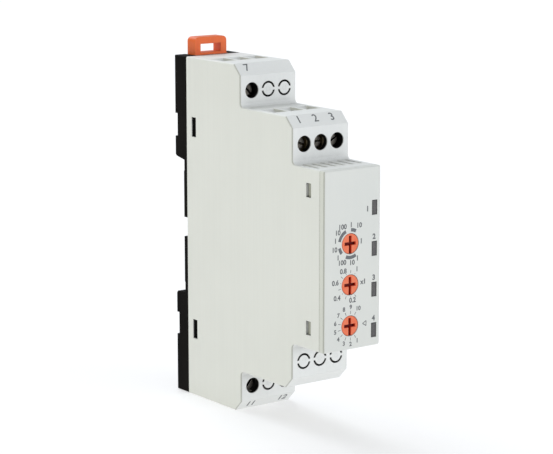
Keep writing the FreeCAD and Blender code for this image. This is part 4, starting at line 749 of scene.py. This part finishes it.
def make_tier_marks():
    """Plain numbers on the slopes of the tiers, one for each fitted terminal."""
    slope = TIER_CHAMFER / 2
    upper = [(SECOND_FACE_Y, SECOND_TOP_Z, [(-1, "1"), (0, "2"), (1, "3")]),
             (FIRST_FACE_Y, TOP_Z, [(-1, "7")])]
    parts = []
    for face_y, top_z, marks in upper:
        panel = Panel((0, face_y + slope, top_z - slope), (1, 0, 0), (0, 1, 1))
        parts += [digits(panel, text, (column * COLUMN - 0.4, 0.4), 3.2, 0.02) for column, text in marks]
    panel = Panel((0, FIRST_FACE_Y + slope, -TOP_Z + slope), (1, 0, 0), (0, -1, 1))
    lower = (-1, "11"), (1, "12")
    parts += [digits(panel, text, (column * COLUMN + 0.3, 0.1), 3.0, 0.06) for column, text in lower]
    new_piece("tier_figures", parts, "timer", INK)


def make_blank_rings():
    """A faint raised ring in the middle of each closed screw hole."""
    closed = [(FIRST_FACE_Y, FIRST_HOLE_Z, 0), (FIRST_FACE_Y, FIRST_HOLE_Z, 1),
              (FIRST_FACE_Y, -FIRST_HOLE_Z, 0)]
    closed += [(SECOND_FACE_Y, -SECOND_HOLE_Z, column) for column in (-1, 0, 1)]
    parts = []
    for face_y, up, column in closed:
        panel = Panel((column * COLUMN, face_y, up), (1, 0, 0), (0, 0, 1))
        circle = arc((0, 0), 0.55, 0, 180), arc((0, 0), 0.55, 180, 360)
        parts += [part for half in circle for part in stroke(panel, half, 0.14)]
    new_piece("blank_rings", parts, "timer", FINISHES["housing"])


# ---------------------------------------------------------------- the visual model

for dial, centre_z in zip(DIALS, DIAL_Z):
    make_knob(dial, centre_z)
for number, pole in enumerate(POLES):
    make_screw(pole, math.radians(40 + 25 * number))
make_spring()
make_range_scale(DIAL_Z[0])
make_time_scale(DIAL_Z[1])
make_mode_scale(DIAL_Z[2])
make_window_marks()
make_tier_marks()
make_blank_rings()


# ---------------------------------------------------------------- floor, light, camera

def make_floor():
    """A wide pale disc under the timer, with rings of points that widen outwards."""
    radius = np.linspace(0, 1, 24)[:, None] ** 2 * 4000
    angle = np.linspace(0, math.tau, 97)
    height = box_mm("housing_shell")[0][2] + 0 * radius * angle
    points, faces = grid(np.stack([radius * np.cos(angle), radius * np.sin(angle), height], axis=-1))
    mesh = bpy.data.meshes.new("floor")
    mesh.from_pydata((points * MM).tolist(), [], faces)
    finish = Finish("pale_floor")
    cloud = finish.noise(0.004, 2.0)
    tone = finish.mix(cloud, tint(200, 200, 200), tint(196, 196, 197))
    mesh.materials.append(finish.close(tone, 0.9 + (cloud - 0.5) * 0.1, finish.relief(cloud, 0.01),
                                       Specular_IOR_Level=0.1, Emission_Color=(1.0, 1.0, 1.0, 1.0),
                                       Emission_Strength=0.46))
    floor = bpy.data.objects.new("floor", mesh)
    bpy.context.scene.collection.objects.link(floor)


def soft_light(name, towards_light, spread, strength, colour):
    """A far, wide light: the direction towards it, and how many degrees of the sky it fills."""
    lamp = bpy.data.lights.new(name, "SUN")
    lamp.angle = math.radians(spread)
    lamp.energy = strength
    lamp.color = colour
    holder = bpy.data.objects.new(name, lamp)
    holder.rotation_euler = (-Vector(towards_light)).to_track_quat("-Z", "Y").to_euler()
    bpy.context.scene.collection.objects.link(holder)


def make_camera(place, azimuth, tilt, roll, focal):
    """A camera at a place in millimetres, its heading clockwise from +Y, tilt upwards, in degrees."""
    lens = bpy.data.cameras.new("camera")
    lens.sensor_width = 36.0
    lens.lens = focal
    camera = bpy.data.objects.new("camera", lens)
    heading = Matrix.Rotation(-math.radians(azimuth), 4, "Z")
    pitch = Matrix.Rotation(math.radians(90 + tilt), 4, "X")
    camera.matrix_world = (Matrix.Translation(Vector(place) * MM) @ heading @ pitch
                           @ Matrix.Rotation(math.radians(roll), 4, "Z"))
    lens.clip_start, lens.clip_end = 0.05, 20.0
    bpy.context.scene.collection.objects.link(camera)
    bpy.context.scene.camera = camera


def make_world(colour, strength):
    """An even sky of one colour, seen by the camera and by reflections alike."""
    world = bpy.data.worlds.new("studio")
    world.use_nodes = True
    background = world.node_tree.nodes["Background"]
    background.inputs["Color"].default_value = colour
    background.inputs["Strength"].default_value = strength
    bpy.context.scene.world = world


make_floor()
make_world((0.96, 0.99, 1.03, 1.0), 0.5)
soft_light("front_light", (0.45, -1.0, 0.03), 40, 1.79, (0.97, 1.0, 1.05))
soft_light("left_light", (-1.0, 0.3, 0.12), 50, 0.7, (1.0, 0.98, 0.52))
soft_light("top_light", (0.05, 0.75, 1.0), 50, 1.8, (0.96, 1.0, 1.06))
make_camera((-309.7, -448.3, 103.1), 36.45, -10.84, -0.02, 135.58)
bpy.context.scene.view_settings.view_transform = "Standard"
